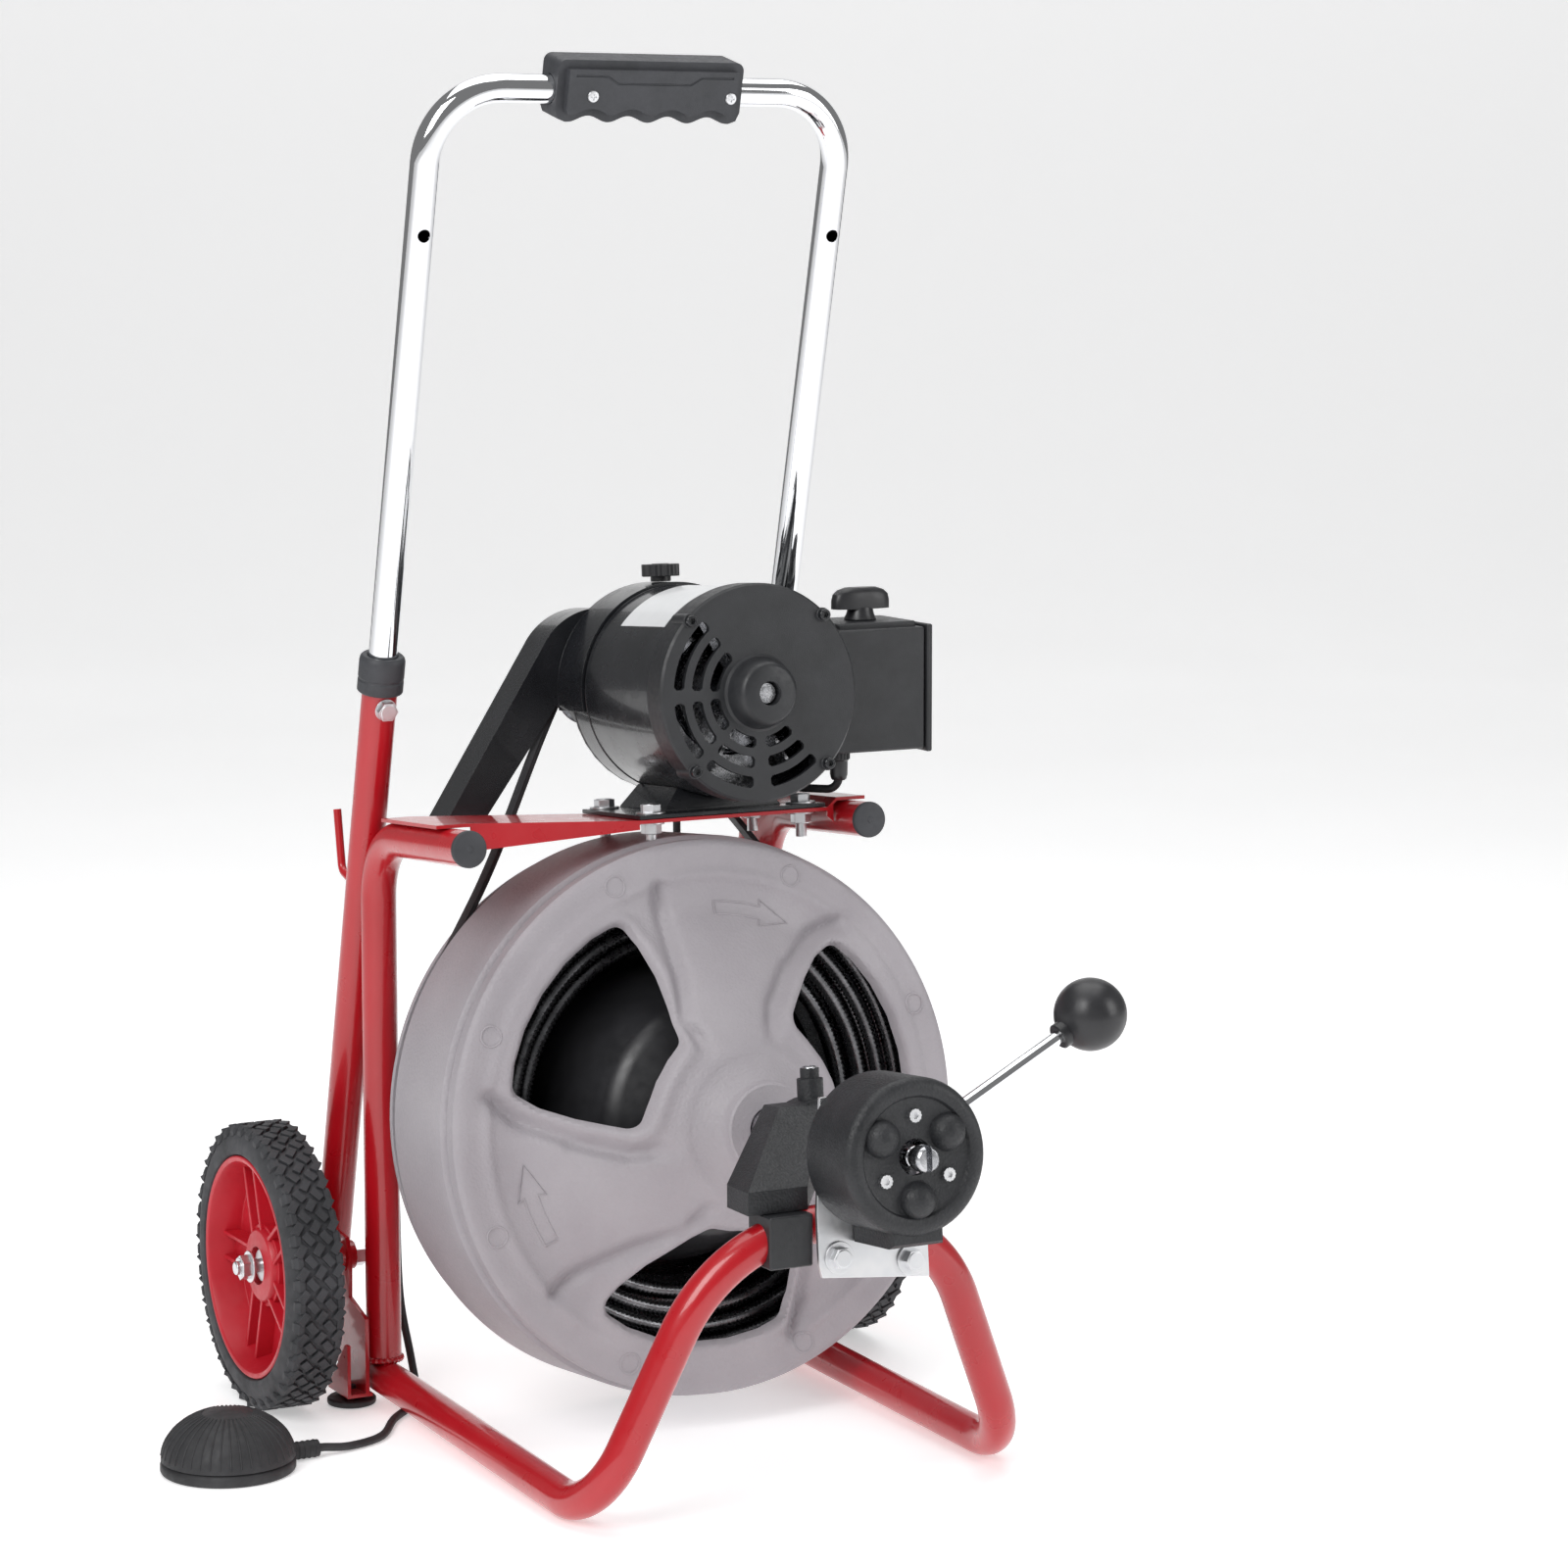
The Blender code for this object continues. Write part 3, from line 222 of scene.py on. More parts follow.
def vary_colour(made, shader, value, dark, light):
    nodes, links = made.node_tree.nodes, made.node_tree.links
    ramp = nodes.new("ShaderNodeValToRGB")
    ramp.color_ramp.elements[0].position = PATTERN_RANGE[0]
    ramp.color_ramp.elements[0].color = (*dark, 1)
    ramp.color_ramp.elements[1].position = PATTERN_RANGE[1]
    ramp.color_ramp.elements[1].color = (*light, 1)
    links.new(value, ramp.inputs["Fac"])
    links.new(ramp.outputs["Color"], shader.inputs["Base Color"])


def vary_roughness(made, shader, value, low, high):
    nodes, links = made.node_tree.nodes, made.node_tree.links
    spread = nodes.new("ShaderNodeMapRange")
    spread.inputs["From Min"].default_value = PATTERN_RANGE[0]
    spread.inputs["From Max"].default_value = PATTERN_RANGE[1]
    spread.inputs["To Min"].default_value = low
    spread.inputs["To Max"].default_value = high
    links.new(value, spread.inputs["Value"])
    links.new(spread.outputs["Result"], shader.inputs["Roughness"])


def add_bumps(made, shader, layers):
    """Each layer is (value, depth in mm), and each builds on the one before it."""
    nodes, links = made.node_tree.nodes, made.node_tree.links
    normal = None
    for value, depth in layers:
        bump = nodes.new("ShaderNodeBump")
        bump.inputs["Strength"].default_value = 1
        bump.inputs["Distance"].default_value = depth * MM
        links.new(value, bump.inputs["Height"])
        if normal:
            links.new(normal, bump.inputs["Normal"])
        normal = bump.outputs["Normal"]
    links.new(normal, shader.inputs["Normal"])


def red_paint():
    """Glossy powder coat with a slight orange peel."""
    made, shader = new_material("red_powder_coat", (0.47, 0.005, 0.012), 0.3, coat=0.6)
    vary_colour(made, shader, pattern(made, "noise", 14), (0.44, 0.004, 0.010), (0.50, 0.006, 0.014))
    vary_roughness(made, shader, pattern(made, "noise", 60), 0.26, 0.36)
    add_bumps(made, shader, [(pattern(made, "noise", 420, 1), 0.06)])
    return made


def chrome():
    """Bright plating with faint handling marks."""
    made, shader = new_material("chrome_plating", (0.86, 0.87, 0.89), 0.05, 1)
    vary_roughness(made, shader, pattern(made, "noise", 35, 6, (1, 1, 0.3)), 0.03, 0.10)
    add_bumps(made, shader, [(pattern(made, "noise", 18), 0.02)])
    return made


def zinc():
    """Zinc-plated steel, a little cloudy."""
    made, shader = new_material("zinc_plating", (0.74, 0.75, 0.77), 0.28, 1)
    vary_colour(made, shader, pattern(made, "noise", 60, 2), (0.71, 0.72, 0.74), (0.79, 0.79, 0.80))
    vary_roughness(made, shader, pattern(made, "noise", 200, 3), 0.30, 0.40)
    add_bumps(made, shader, [(pattern(made, "noise", 1100, 2), 0.006)])
    return made


def machined_steel():
    """Turned and ground steel with an oil film."""
    made, shader = new_material("machined_steel", (0.55, 0.56, 0.58), 0.22, 1)
    vary_colour(made, shader, pattern(made, "noise", 120, 4), (0.36, 0.37, 0.39), (0.66, 0.66, 0.68))
    vary_roughness(made, shader, pattern(made, "noise", 400, 3), 0.14, 0.32)
    add_bumps(made, shader, [(pattern(made, "noise", 2200, 2), 0.01)])
    return made


def black_gloss():
    """The motor shell's smooth black enamel."""
    made, shader = new_material("black_enamel", (0.011, 0.012, 0.014), 0.28, coat=0.35)
    vary_colour(made, shader, pattern(made, "noise", 30), (0.009, 0.010, 0.012), (0.014, 0.015, 0.018))
    vary_roughness(made, shader, pattern(made, "noise", 70), 0.2, 0.3)
    add_bumps(made, shader, [(pattern(made, "noise", 350, 1), 0.006)])
    return made


def black_coat():
    """Fine-grained satin powder coat on castings and sheet."""
    made, shader = new_material("black_powder_coat", (0.018, 0.019, 0.021), 0.4)
    vary_colour(made, shader, pattern(made, "noise", 45), (0.015, 0.016, 0.018), (0.022, 0.023, 0.026))
    vary_roughness(made, shader, pattern(made, "noise", 260), 0.36, 0.5)
    add_bumps(made, shader, [(pattern(made, "noise", 1400, 2), 0.08)])
    return made


def black_cast():
    """Pebbled black finish of the feed unit's castings."""
    made, shader = new_material("black_pebbled_cast", (0.018, 0.019, 0.021), 0.46)
    vary_colour(made, shader, pattern(made, "noise", 60, 4), (0.014, 0.015, 0.017), (0.023, 0.024, 0.027))
    vary_roughness(made, shader, pattern(made, "noise", 500), 0.42, 0.58)
    add_bumps(made, shader, [(pattern(made, "cells", 620), 0.32), (pattern(made, "noise", 1500, 2), 0.08)])
    return made


def black_plastic():
    """Satin moulded plastic."""
    made, shader = new_material("black_moulded_plastic", (0.022, 0.022, 0.024), 0.34)
    vary_roughness(made, shader, pattern(made, "noise", 120), 0.28, 0.42)
    vary_colour(made, shader, pattern(made, "noise", 40), (0.018, 0.018, 0.020), (0.027, 0.027, 0.030))
    add_bumps(made, shader, [(pattern(made, "noise", 1100, 2), 0.03)])
    return made


def charcoal_plastic():
    """The grip and the tube caps: dull charcoal with a fine moulded grain."""
    made, shader = new_material("charcoal_grained_plastic", (0.042, 0.044, 0.050), 0.55)
    vary_colour(made, shader, pattern(made, "noise", 50), (0.037, 0.039, 0.044), (0.049, 0.051, 0.058))
    vary_roughness(made, shader, pattern(made, "noise", 300), 0.48, 0.62)
    add_bumps(made, shader, [(pattern(made, "cells", 1500), 0.07)])
    return made


def rubber():
    """Hose, feet, belt and pedal."""
    made, shader = new_material("black_rubber", (0.026, 0.026, 0.028), 0.62)
    vary_colour(made, shader, pattern(made, "noise", 55, 5), (0.019, 0.019, 0.021), (0.036, 0.036, 0.039))
    vary_roughness(made, shader, pattern(made, "noise", 200), 0.52, 0.7)
    add_bumps(made, shader, [(pattern(made, "noise", 900, 3), 0.06)])
    return made


def tyre_rubber():
    """Solid tyre rubber, greyer where it is dusty."""
    made, shader = new_material("tyre_rubber", (0.040, 0.041, 0.045), 0.75)
    vary_colour(made, shader, pattern(made, "noise", 28, 6), (0.030, 0.031, 0.034), (0.060, 0.061, 0.067))
    vary_roughness(made, shader, pattern(made, "noise", 150), 0.62, 0.85)
    add_bumps(made, shader, [(pattern(made, "noise", 1300, 3), 0.10)])
    return made


def red_plastic():
    """The moulded rims."""
    made, shader = new_material("red_moulded_plastic", (0.52, 0.012, 0.026), 0.38)
    vary_colour(made, shader, pattern(made, "noise", 25), (0.47, 0.009, 0.021), (0.57, 0.016, 0.032))
    vary_roughness(made, shader, pattern(made, "noise", 180), 0.32, 0.46)
    add_bumps(made, shader, [(pattern(made, "noise", 1200, 2), 0.04)])
    return made


def drum_plastic():
    """The drum's thick grey moulding with a leathery grain."""
    made, shader = new_material("grey_leathery_moulding", (0.37, 0.345, 0.37), 0.5)
    vary_colour(made, shader, pattern(made, "noise", 16, 5), (0.345, 0.320, 0.345), (0.395, 0.370, 0.395))
    vary_roughness(made, shader, pattern(made, "noise", 420), 0.42, 0.58)
    add_bumps(made, shader, [(pattern(made, "cells", 480), 0.34), (pattern(made, "noise", 1200, 3), 0.14)])
    return made


def spring_steel():
    """The oiled dark spring cable."""
    made, shader = new_material("oiled_spring_steel", (0.15, 0.15, 0.155), 0.28, 1)
    vary_colour(made, shader, pattern(made, "noise", 70, 4), (0.10, 0.10, 0.105), (0.21, 0.21, 0.22))
    vary_roughness(made, shader, pattern(made, "noise", 300), 0.2, 0.4)
    add_bumps(made, shader, [(pattern(made, "noise", 1500, 2), 0.02)])
    return made


def pale_label():
    """A blank foil label."""
    made, shader = new_material("blank_pale_label", (0.72, 0.73, 0.74), 0.35, coat=0.3)
    vary_colour(made, shader, pattern(made, "noise", 40), (0.69, 0.70, 0.71), (0.75, 0.76, 0.77))
    vary_roughness(made, shader, pattern(made, "noise", 200), 0.3, 0.42)
    add_bumps(made, shader, [(pattern(made, "noise", 500, 2), 0.01)])
    return made


FINISHES = {
    "red_paint": (red_paint, "red_paint"),
    "chrome": (chrome, "chrome"),
    "zinc": (zinc, "zinc"),
    "steel": (machined_steel, "zinc"),
    "black_gloss": (black_gloss, "black_paint"),
    "black_coat": (black_coat, "black_paint"),
    "black_cast": (black_cast, "black_paint"),
    "black_plastic": (black_plastic, "black_plastic"),
    "charcoal": (charcoal_plastic, "black_plastic"),
    "rubber": (rubber, "rubber"),
    "tyre": (tyre_rubber, "tyre"),
    "red_plastic": (red_plastic, "red_plastic"),
    "drum": (drum_plastic, "drum_plastic"),
    "cable": (spring_steel, "wound_cable"),
    "label": (pale_label, "black_paint"),
}
MATERIALS = {name: make() for name, (make, slot) in FINISHES.items()}


# ---------------------------------------------------------------- shapes


def axis_frame(origin, tilt):
    """Local x is right, y up and z forward, with the front raised by the tilt."""
    return Matrix.Translation(origin) @ Matrix.Rotation(math.pi / 2 - tilt, 4, "X")


MOTOR = axis_frame(MOTOR_AT, MOTOR_TILT)
DRUM = axis_frame(DRUM_AT, DRUM_TILT)


def placed(mesh, matrix):
    bmesh.ops.transform(mesh, matrix=matrix, verts=mesh.verts)
    return mesh


def oriented(mesh):
    bmesh.ops.recalc_face_normals(mesh, faces=mesh.faces)
    if mesh.calc_volume(signed=True) < 0:
        bmesh.ops.reverse_faces(mesh, faces=mesh.faces)
    return mesh


def lathe(profile, sides=72):
    """Turns a closed outline of (radius, height) points about the local z axis."""
    mesh = bmesh.new()
    rings = []
    for radius, height in profile:
        if radius == 0:
            rings.append([mesh.verts.new((0, 0, height))] * sides)
            continue
        angles = (TURN * k / sides for k in range(sides))
        rings.append([mesh.verts.new((radius * math.cos(a), radius * math.sin(a), height)) for a in angles])
    for lower, upper in zip(rings, rings[1:] + rings[:1]):
        for k in range(sides):
            after = (k + 1) % sides
            corners = dict.fromkeys((lower[k], lower[after], upper[after], upper[k]))
            if len(corners) > 2:
                mesh.faces.new(corners)
    return oriented(mesh)


def disc(radius, low, high, bore=0, sides=48, edge=0):
    """A turned plate, ring or rod along z. The edge is a chamfer on its outer corners."""
    outside = [(radius, low + edge), (radius, high - edge)]
    if edge:
        outside = [(radius - edge, low)] + outside + [(radius - edge, high)]
    return lathe(outside + [(bore, high), (bore, low)], sides)


def frames_along(points, closed=False):
    """The tangent and two normals at each point of a route."""
    points = [Vector(p) for p in points]
    steps = [(b - a).normalized() for a, b in zip(points, points[1:])]
    if closed:
        steps.append((points[0] - points[-1]).normalized())
        tangents = [(steps[k - 1] + steps[k]).normalized() for k in range(len(points))]
    else:
        middle = [(a + b).normalized() for a, b in zip(steps, steps[1:])]
        tangents = [steps[0]] + middle + [steps[-1]]
    side = tangents[0].orthogonal().normalized()
    found = []
    for tangent in tangents:
        side = (side - tangent * side.dot(tangent)).normalized()
        found.append((tangent, side, tangent.cross(side)))
    return points, found


def skin(mesh, rings):
    """The faces between each ring of points and the next."""
    for a, b in zip(rings, rings[1:]):
        for k in range(len(a)):
            after = (k + 1) % len(a)
            mesh.faces.new((a[k], a[after], b[after], b[k]))


def sweep(points, radius, bore=0, sides=36, closed=False):
    """A round bar or tube along a route of points, with flat ends, or a closed ring of it."""
    mesh = bmesh.new()
    points, frames = frames_along(points, closed)

    def ring(point, turned, size):
        angles = (TURN * k / sides for k in range(sides))
        return [
            mesh.verts.new(point + size * (math.cos(a) * turned[1] + math.sin(a) * turned[2]))
            for a in angles
        ]

    outer = [ring(p, f, radius) for p, f in zip(points, frames)]
    if closed:
        skin(mesh, outer + outer[:1])
        return oriented(mesh)
    skin(mesh, outer)
    if bore:
        inner = [ring(p, f, bore) for p, f in zip(points, frames)]
        skin(mesh, inner)
        skin(mesh, [outer[0], inner[0]])
        skin(mesh, [outer[-1], inner[-1]])
    else:
        mesh.faces.new(outer[0])
        mesh.faces.new(outer[-1])
    return oriented(mesh)


def rod(start, end, radius, bore=0, sides=36):
    return sweep([start, end], radius, bore, sides)


def rounded_route(corners, radii, steps=20):
    """A route through the corners, with an arc of the given radius at each corner between its ends."""
    corners = [Vector(c) for c in corners]
    route = [corners[0]]
    for before, corner, after, radius in zip(corners, corners[1:], corners[2:], radii):
        a = (before - corner).normalized()
        b = (after - corner).normalized()
        half = a.angle(b) / 2
        centre = corner + (a + b).normalized() * radius / math.sin(half)
        start = corner + a * radius / math.tan(half) - centre
        end = corner + b * radius / math.tan(half) - centre
        route += [centre + radius * start.slerp(end, k / steps).normalized() for k in range(steps + 1)]
    return route + [corners[-1]]


def prism(outline, low, high):
    """Extrudes an outline of (x, y) points along z."""
    mesh = bmesh.new()
    bottom = [mesh.verts.new((x, y, low)) for x, y in outline]
    top = [mesh.verts.new((x, y, high)) for x, y in outline]
    mesh.faces.new(bottom)
    mesh.faces.new(top)
    for k in range(len(outline)):
        after = (k + 1) % len(outline)
        mesh.faces.new((bottom[k], bottom[after], top[after], top[k]))
    return oriented(mesh)


def front_prism(outline, near, far):
    """Extrudes an outline of world (x, z) points along Y."""
    return placed(prism(outline, -far, -near), Matrix.Rotation(math.pi / 2, 4, "X"))


def block(x, y, z):
    return prism([(x[0], y[0]), (x[1], y[0]), (x[1], y[1]), (x[0], y[1])], z[0], z[1])


def rounded_outline(corners, radius):
    """The points of a flat outline with round corners, nine to a corner."""
    outline = []
    steps = 8
    for k, corner in enumerate(corners):
        corner = Vector(corner)
        a = (Vector(corners[k - 1]) - corner).normalized()
        b = (Vector(corners[(k + 1) % len(corners)]) - corner).normalized()
        half = a.angle(b) / 2
        centre = corner + (a + b).normalized() * radius / math.sin(half)
        start = corner + a * radius / math.tan(half) - centre
        turn = start.angle_signed(corner + b * radius / math.tan(half) - centre)
        outline += [centre + Matrix.Rotation(-turn * step / steps, 2) @ start for step in range(steps + 1)]
    return outline


def polar(radius, degrees):
    angle = math.radians(degrees)
    return radius * math.cos(angle), radius * math.sin(angle)


def arc(radius, first, last, steps, centre=(0, 0)):
    """Points on a circle from one angle in degrees to another."""
    angles = (first + (last - first) * k / steps for k in range(steps + 1))
    return [(centre[0] + polar(radius, a)[0], centre[1] + polar(radius, a)[1]) for a in angles]


def hexagon(across, low, high):
    return prism(arc(across / math.sqrt(3), 0, 300, 5), low, high)


def ball(radius, centre, rings=24, sides=48):
    mesh = bmesh.new()
    bmesh.ops.create_uvsphere(mesh, u_segments=sides, v_segments=rings, radius=radius)
    return placed(mesh, Matrix.Translation(centre))


def hull(*meshes):
    together = bmesh.new()
    for mesh in meshes:
        for vertex in mesh.verts:
            together.verts.new(vertex.co)
    bmesh.ops.convex_hull(together, input=together.verts)
    loose = [v for v in together.verts if not v.link_faces]
    bmesh.ops.delete(together, geom=loose, context="VERTS")
    return oriented(together)


def bundle(*meshes):
    """Several closed shapes in one mesh."""
    together = bmesh.new()
    for mesh in meshes:
        data = bpy.data.meshes.new("part")
        mesh.to_mesh(data)
        mesh.free()
        together.from_mesh(data)
        bpy.data.meshes.remove(data)
    return together


def to_object(name, mesh):
    data = bpy.data.meshes.new(name)
    mesh.to_mesh(data)
    mesh.free()
    made = bpy.data.objects.new(name, data)
    bpy.context.scene.collection.objects.link(made)
    return made


def combined(base, tools, operation):
    """Joins or cuts solids exactly, one tool after another."""
    for tool in tools:
        body = to_object("body", base)
        cutter = to_object("tool", tool)
        modifier = body.modifiers.new("combine", "BOOLEAN")
        modifier.operation = operation
        modifier.solver = "EXACT"
        modifier.object = cutter
        graph = bpy.context.evaluated_depsgraph_get()
        base = bmesh.new()
        base.from_mesh(body.evaluated_get(graph).to_mesh())
        bpy.data.objects.remove(body)
        bpy.data.objects.remove(cutter)
        bmesh.ops.remove_doubles(base, verts=base.verts, dist=WELD)
        bmesh.ops.dissolve_degenerate(base, edges=base.edges, dist=WELD)
    return base


def union(base, *tools):
    return combined(base, tools, "UNION")


def cut(base, *tools):
    return combined(base, tools, "DIFFERENCE")


# ---------------------------------------------------------------- pieces


BODY_OF = {node: body for body, nodes in frame["record"]["behaviour"]["bodies"].items() for node in nodes}


def rounded_edges(made, width, segments):
    modifier = made.modifiers.new("rounded_edges", "BEVEL")
    modifier.width = width * MM
    modifier.segments = segments
    modifier.limit_method = "ANGLE"
    modifier.angle_limit = math.radians(32)
    modifier.harden_normals = True


def finished(name, mesh, finish, body="frame", nodes=(), edge=0.0, segments=2, smooth=38):
    """Makes a mesh in millimetres a piece: in place, shaded, with round edges and its finish."""
    placed(mesh, Matrix.Scale(MM, 4) @ Matrix.Translation(CENTRE))
    for face in mesh.faces:
        face.smooth = True
    made = to_object(name, mesh)
    return dressed(made, finish, body, nodes, edge, segments, smooth)


def dressed(made, finish, body, nodes, edge, segments, smooth):
    made.data.set_sharp_from_angle(angle=math.radians(smooth))
    if edge:
        rounded_edges(made, edge, segments)
    made.data.materials.clear()
    made.data.materials.append(MATERIALS[finish])
    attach(made, BODY_OF[nodes[0]] if nodes else body)
    if nodes:
        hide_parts(*nodes)
    return made


def refined(node, finish, edge, segments=3):
    """A copy of a CAD node's own solid with its sharp edges rounded."""
    mesh = bmesh.new()
    source = frame["nodes"][node]
    mesh.from_mesh(source.data)
    placed(mesh, source.matrix_world)
    bmesh.ops.remove_doubles(mesh, verts=mesh.verts, dist=WELD * MM)
    bmesh.ops.dissolve_limit(mesh, angle_limit=math.radians(0.3), verts=mesh.verts, edges=mesh.edges)
    for face in mesh.faces:
        face.smooth = True
    made = to_object(f"{node}_fine", mesh)
    return dressed(made, finish, "frame", (node,), edge, segments, 38)


def hex_bolt(across, height, shank, length, washer=0):
    """A hex head on local z = 0 upwards, with its shank below and a washer under the head."""
    parts = [hexagon(across, washer, washer + height), disc(shank, -length, washer + 0.5, sides=24)]
    parts.append(disc(across * 0.46, washer, washer + height + 0.5, sides=36, edge=0.4))
    if washer:
        parts.append(disc(across * 0.82, 0, washer, sides=40))
    return bundle(*parts)


def at(matrix, x, y, z):
    return matrix @ Matrix.Translation((x, y, z))


# ---------------------------------------------------------------- frame


def leg_point(side, z, towards_back=0):
    """A point of the handle leg's centre line, or one the given distance behind it."""
    lean = math.atan(LEG_LEAN)
    y = LEG_Y_AT_500 - LEG_LEAN * (z - 500)
    return Vector((side * LEG_X, y + towards_back * math.cos(lean), z + towards_back * math.sin(lean)))


def base_frame_route():
    left = [(-x, y, z) for x, y, z in (RAIL_REAR, LOOP_FOOT, LOOP_TOP)]
    right = [LOOP_TOP, LOOP_FOOT, RAIL_REAR]
    bends = [LOOP_FOOT_BEND, LOOP_TOP_BEND, LOOP_TOP_BEND, LOOP_FOOT_BEND]
    return rounded_route(left + right, bends, 24)


def arm_height(y):
    """The arm's centre height at this Y."""
    return ARM_FRONT[1] + (ARM_FRONT[0] - y) * math.tan(ARM_TILT)


def make_base_frame():
    tube = sweep(base_frame_route(), TUBE_R, TUBE_BORE, 48)
    finished("base_frame_tube", tube, "red_paint", nodes=["base_frame"], edge=0.5)


def make_posts():
    for name, side in SIDES:
        x = side * RAIL_X
        corners = [(x, 0, POST_BOTTOM), (x, 0, arm_height(0)), (x, *ARM_FRONT)]
        post = sweep(rounded_route(corners, [ARM_BEND], 24), TUBE_R, TUBE_BORE, 48)
        cope = rod(leg_point(side, 40), leg_point(side, 540), TUBE_R + GAP, sides=64)
        post = cut(post, cope)
        finished(f"{name}_post_tube", post, "red_paint", nodes=[f"{name}_post"], edge=0.4)


def make_sockets():
    for name, side in SIDES:
        low, high = (leg_point(side, z) for z in SOCKET_Z)
        socket = rod(low, high, TUBE_R, SOCKET_BORE, 48)
        hole = rod(leg_point(side, LOCK_Z, -30), leg_point(side, LOCK_Z), LOCK_HOLE_R, sides=24)
        parts = [cut(socket, hole)]
        if side < 0:
            start = leg_point(side, HOOK_Z, TUBE_R - 0.7)
            route = [start, start + HOOK_ELBOW, start + HOOK_TIP]
            parts.append(sweep(rounded_route(route, [9], 10), HOOK_R, sides=20))
            parts.append(disc_at(start, (0, 1, 0.25), 4.6, 2.4))
        socket = bundle(*parts)
        finished(f"{name}_socket_tube", socket, "red_paint", nodes=[f"{name}_handle_socket"], edge=0.4)


def disc_at(centre, direction, radius, height):
    """A low mound, such as a weld, whose axis points along the direction."""
    dome = [(0, -1), (radius, -1), (radius, 0), (radius * 0.8, height * 0.6), (radius * 0.45, height)]
    turned = Vector(direction).to_track_quat("Z", "Y").to_matrix().to_4x4()
    return placed(lathe(dome + [(0, height)], 28), Matrix.Translation(centre) @ turned)


def weld_ring(matrix, radius, thickness, ripples):
    """A rippled fillet weld round a tube's end."""
    mesh = bmesh.new()
    rings = []
    sides = 10
    steps = ripples * 4
    for k in range(steps):
        angle = TURN * k / steps
        size = thickness * (1 + 0.16 * math.cos(TURN * k / 4))
        outward = Vector((math.cos(angle), math.sin(angle), 0))
        rings.append([
            mesh.verts.new(outward * (radius + size * math.cos(a)) + Vector((0, 0, size * math.sin(a))))
            for a in (TURN * j / sides for j in range(sides))
        ])
    skin(mesh, rings + rings[:1])
    return placed(oriented(mesh), matrix)


def make_welds():
    """Painted weld beads where the tubes and brackets meet."""
    lean = math.atan(LEG_LEAN)
    for name, side in SIDES:
        foot = weld_ring(Matrix.Translation((side * RAIL_X, 0, POST_BOTTOM + 0.6)), TUBE_R - 0.4, 2.1, 26)
        finished(f"{name}_post_weld", foot, "red_paint")
        seat = leg_point(side, SOCKET_Z[0])
        low = weld_ring(Matrix.Translation(seat) @ Matrix.Rotation(lean, 4, "X"), TUBE_R - 0.6, 1.8, 26)
        finished(f"{name}_socket_weld", low, "red_paint")


def make_cross_tube():
    reach = RAIL_X - TUBE_R - GAP
    z = DRUM_AT[2] + DRUM_AT[1] * math.tan(DRUM_TILT)
    tube = rod((-reach, 0, z), (reach, 0, z), TUBE_R, TUBE_BORE, 48)
    shaft = lathe([(0, -30), (9.7, -30), (9.7, -143), (16, -143.5), (16, -156), (0, -156)], 40)
    placed(shaft, DRUM)
    sideways = Matrix.Rotation(math.pi / 2, 4, "Y")
    ends = [Matrix.Translation((s * (reach - 0.5), 0, z)) @ sideways for s in (-1, 1)]
    beads = [weld_ring(end, TUBE_R - 0.4, 2, 26) for end in ends]
    whole = bundle(tube, shaft, *beads)
    finished("cross_tube_and_shaft", whole, "red_paint", nodes=["rear_cross_tube"], edge=0.4)


def plate_frame():
    top = arm_height(-134) + (TUBE_R + GAP) / math.cos(ARM_TILT)
    return Matrix.Translation((0, -134, top)) @ Matrix.Rotation(-ARM_TILT, 4, "X")


PLATE = plate_frame()


def make_motor_bolts():
    """Four bolts through the motor base, with washers and nuts under the plate."""
    top = PLATE_T - SEAT_DROP + GAP + 3
    below = -SEAT_DROP
    number = 0
    for x in (BOLT_CENTRE[0] - BOLT_SPREAD[0], BOLT_CENTRE[0] + BOLT_SPREAD[0]):
        for y in (BOLT_CENTRE[1] - BOLT_SPREAD[1], BOLT_CENTRE[1] + BOLT_SPREAD[1]):
            number += 1
            seat = at(PLATE, x, y, top) @ Matrix.Rotation(0.3 * number, 4, "Z")
            bolt = placed(hex_bolt(13, 5.3, 4, 24, 1.4), seat)
            finished(f"motor_bolt_{number}", bolt, "zinc", edge=0.4)
            nut = bundle(hexagon(13, -8.2, -1.6), disc(9.5, -1.6, -0.2), disc(6.2, -8.6, -7.8, sides=36))
            nut = placed(nut, at(PLATE, x, y, below) @ Matrix.Rotation(0.5 * number, 4, "Z"))
            finished(f"motor_nut_{number}", nut, "zinc", edge=0.4)


def make_sheet_pieces():
    refined("motor_plate", "red_paint", 0.7)
    refined("left_wheel_bracket", "red_paint", 0.7)
    refined("right_wheel_bracket", "red_paint", 0.7)


def make_feet():
    profile = [
        (0, 0), (15, 0), (17.2, 0.8), (17.8, 2.2), (17.8, 4.6), (16.5, 5.8), (12.4, 6.3), (9.6, 7.4),
        (9, 8.7), (3, 8.7), (3, 14), (0, 14),
    ]
    for name, side in SIDES:
        foot = placed(lathe(profile), Matrix.Translation((side * 178, 9, 0)))
        finished(f"{name}_foot_pad", foot, "rubber", nodes=[f"{name}_rubber_foot"], edge=0.3)


def make_arm_caps():
    profile = [
        (0, -12), (10.3, -12), (10.4, 0), (12.9, 0), (12.9, 2.2), (12.3, 3.2), (11, 3.6), (2.2, 3.6),
        (1.8, 4.2), (0, 4.3),
    ]
    for name, side in SIDES:
        face = (side * RAIL_X, ARM_FRONT[0] - GAP, ARM_FRONT[1])
        cap = placed(lathe(profile), axis_frame(face, ARM_TILT))
        finished(f"{name}_arm_plug", cap, "charcoal", nodes=[f"{name}_arm_cap"], edge=0.3)


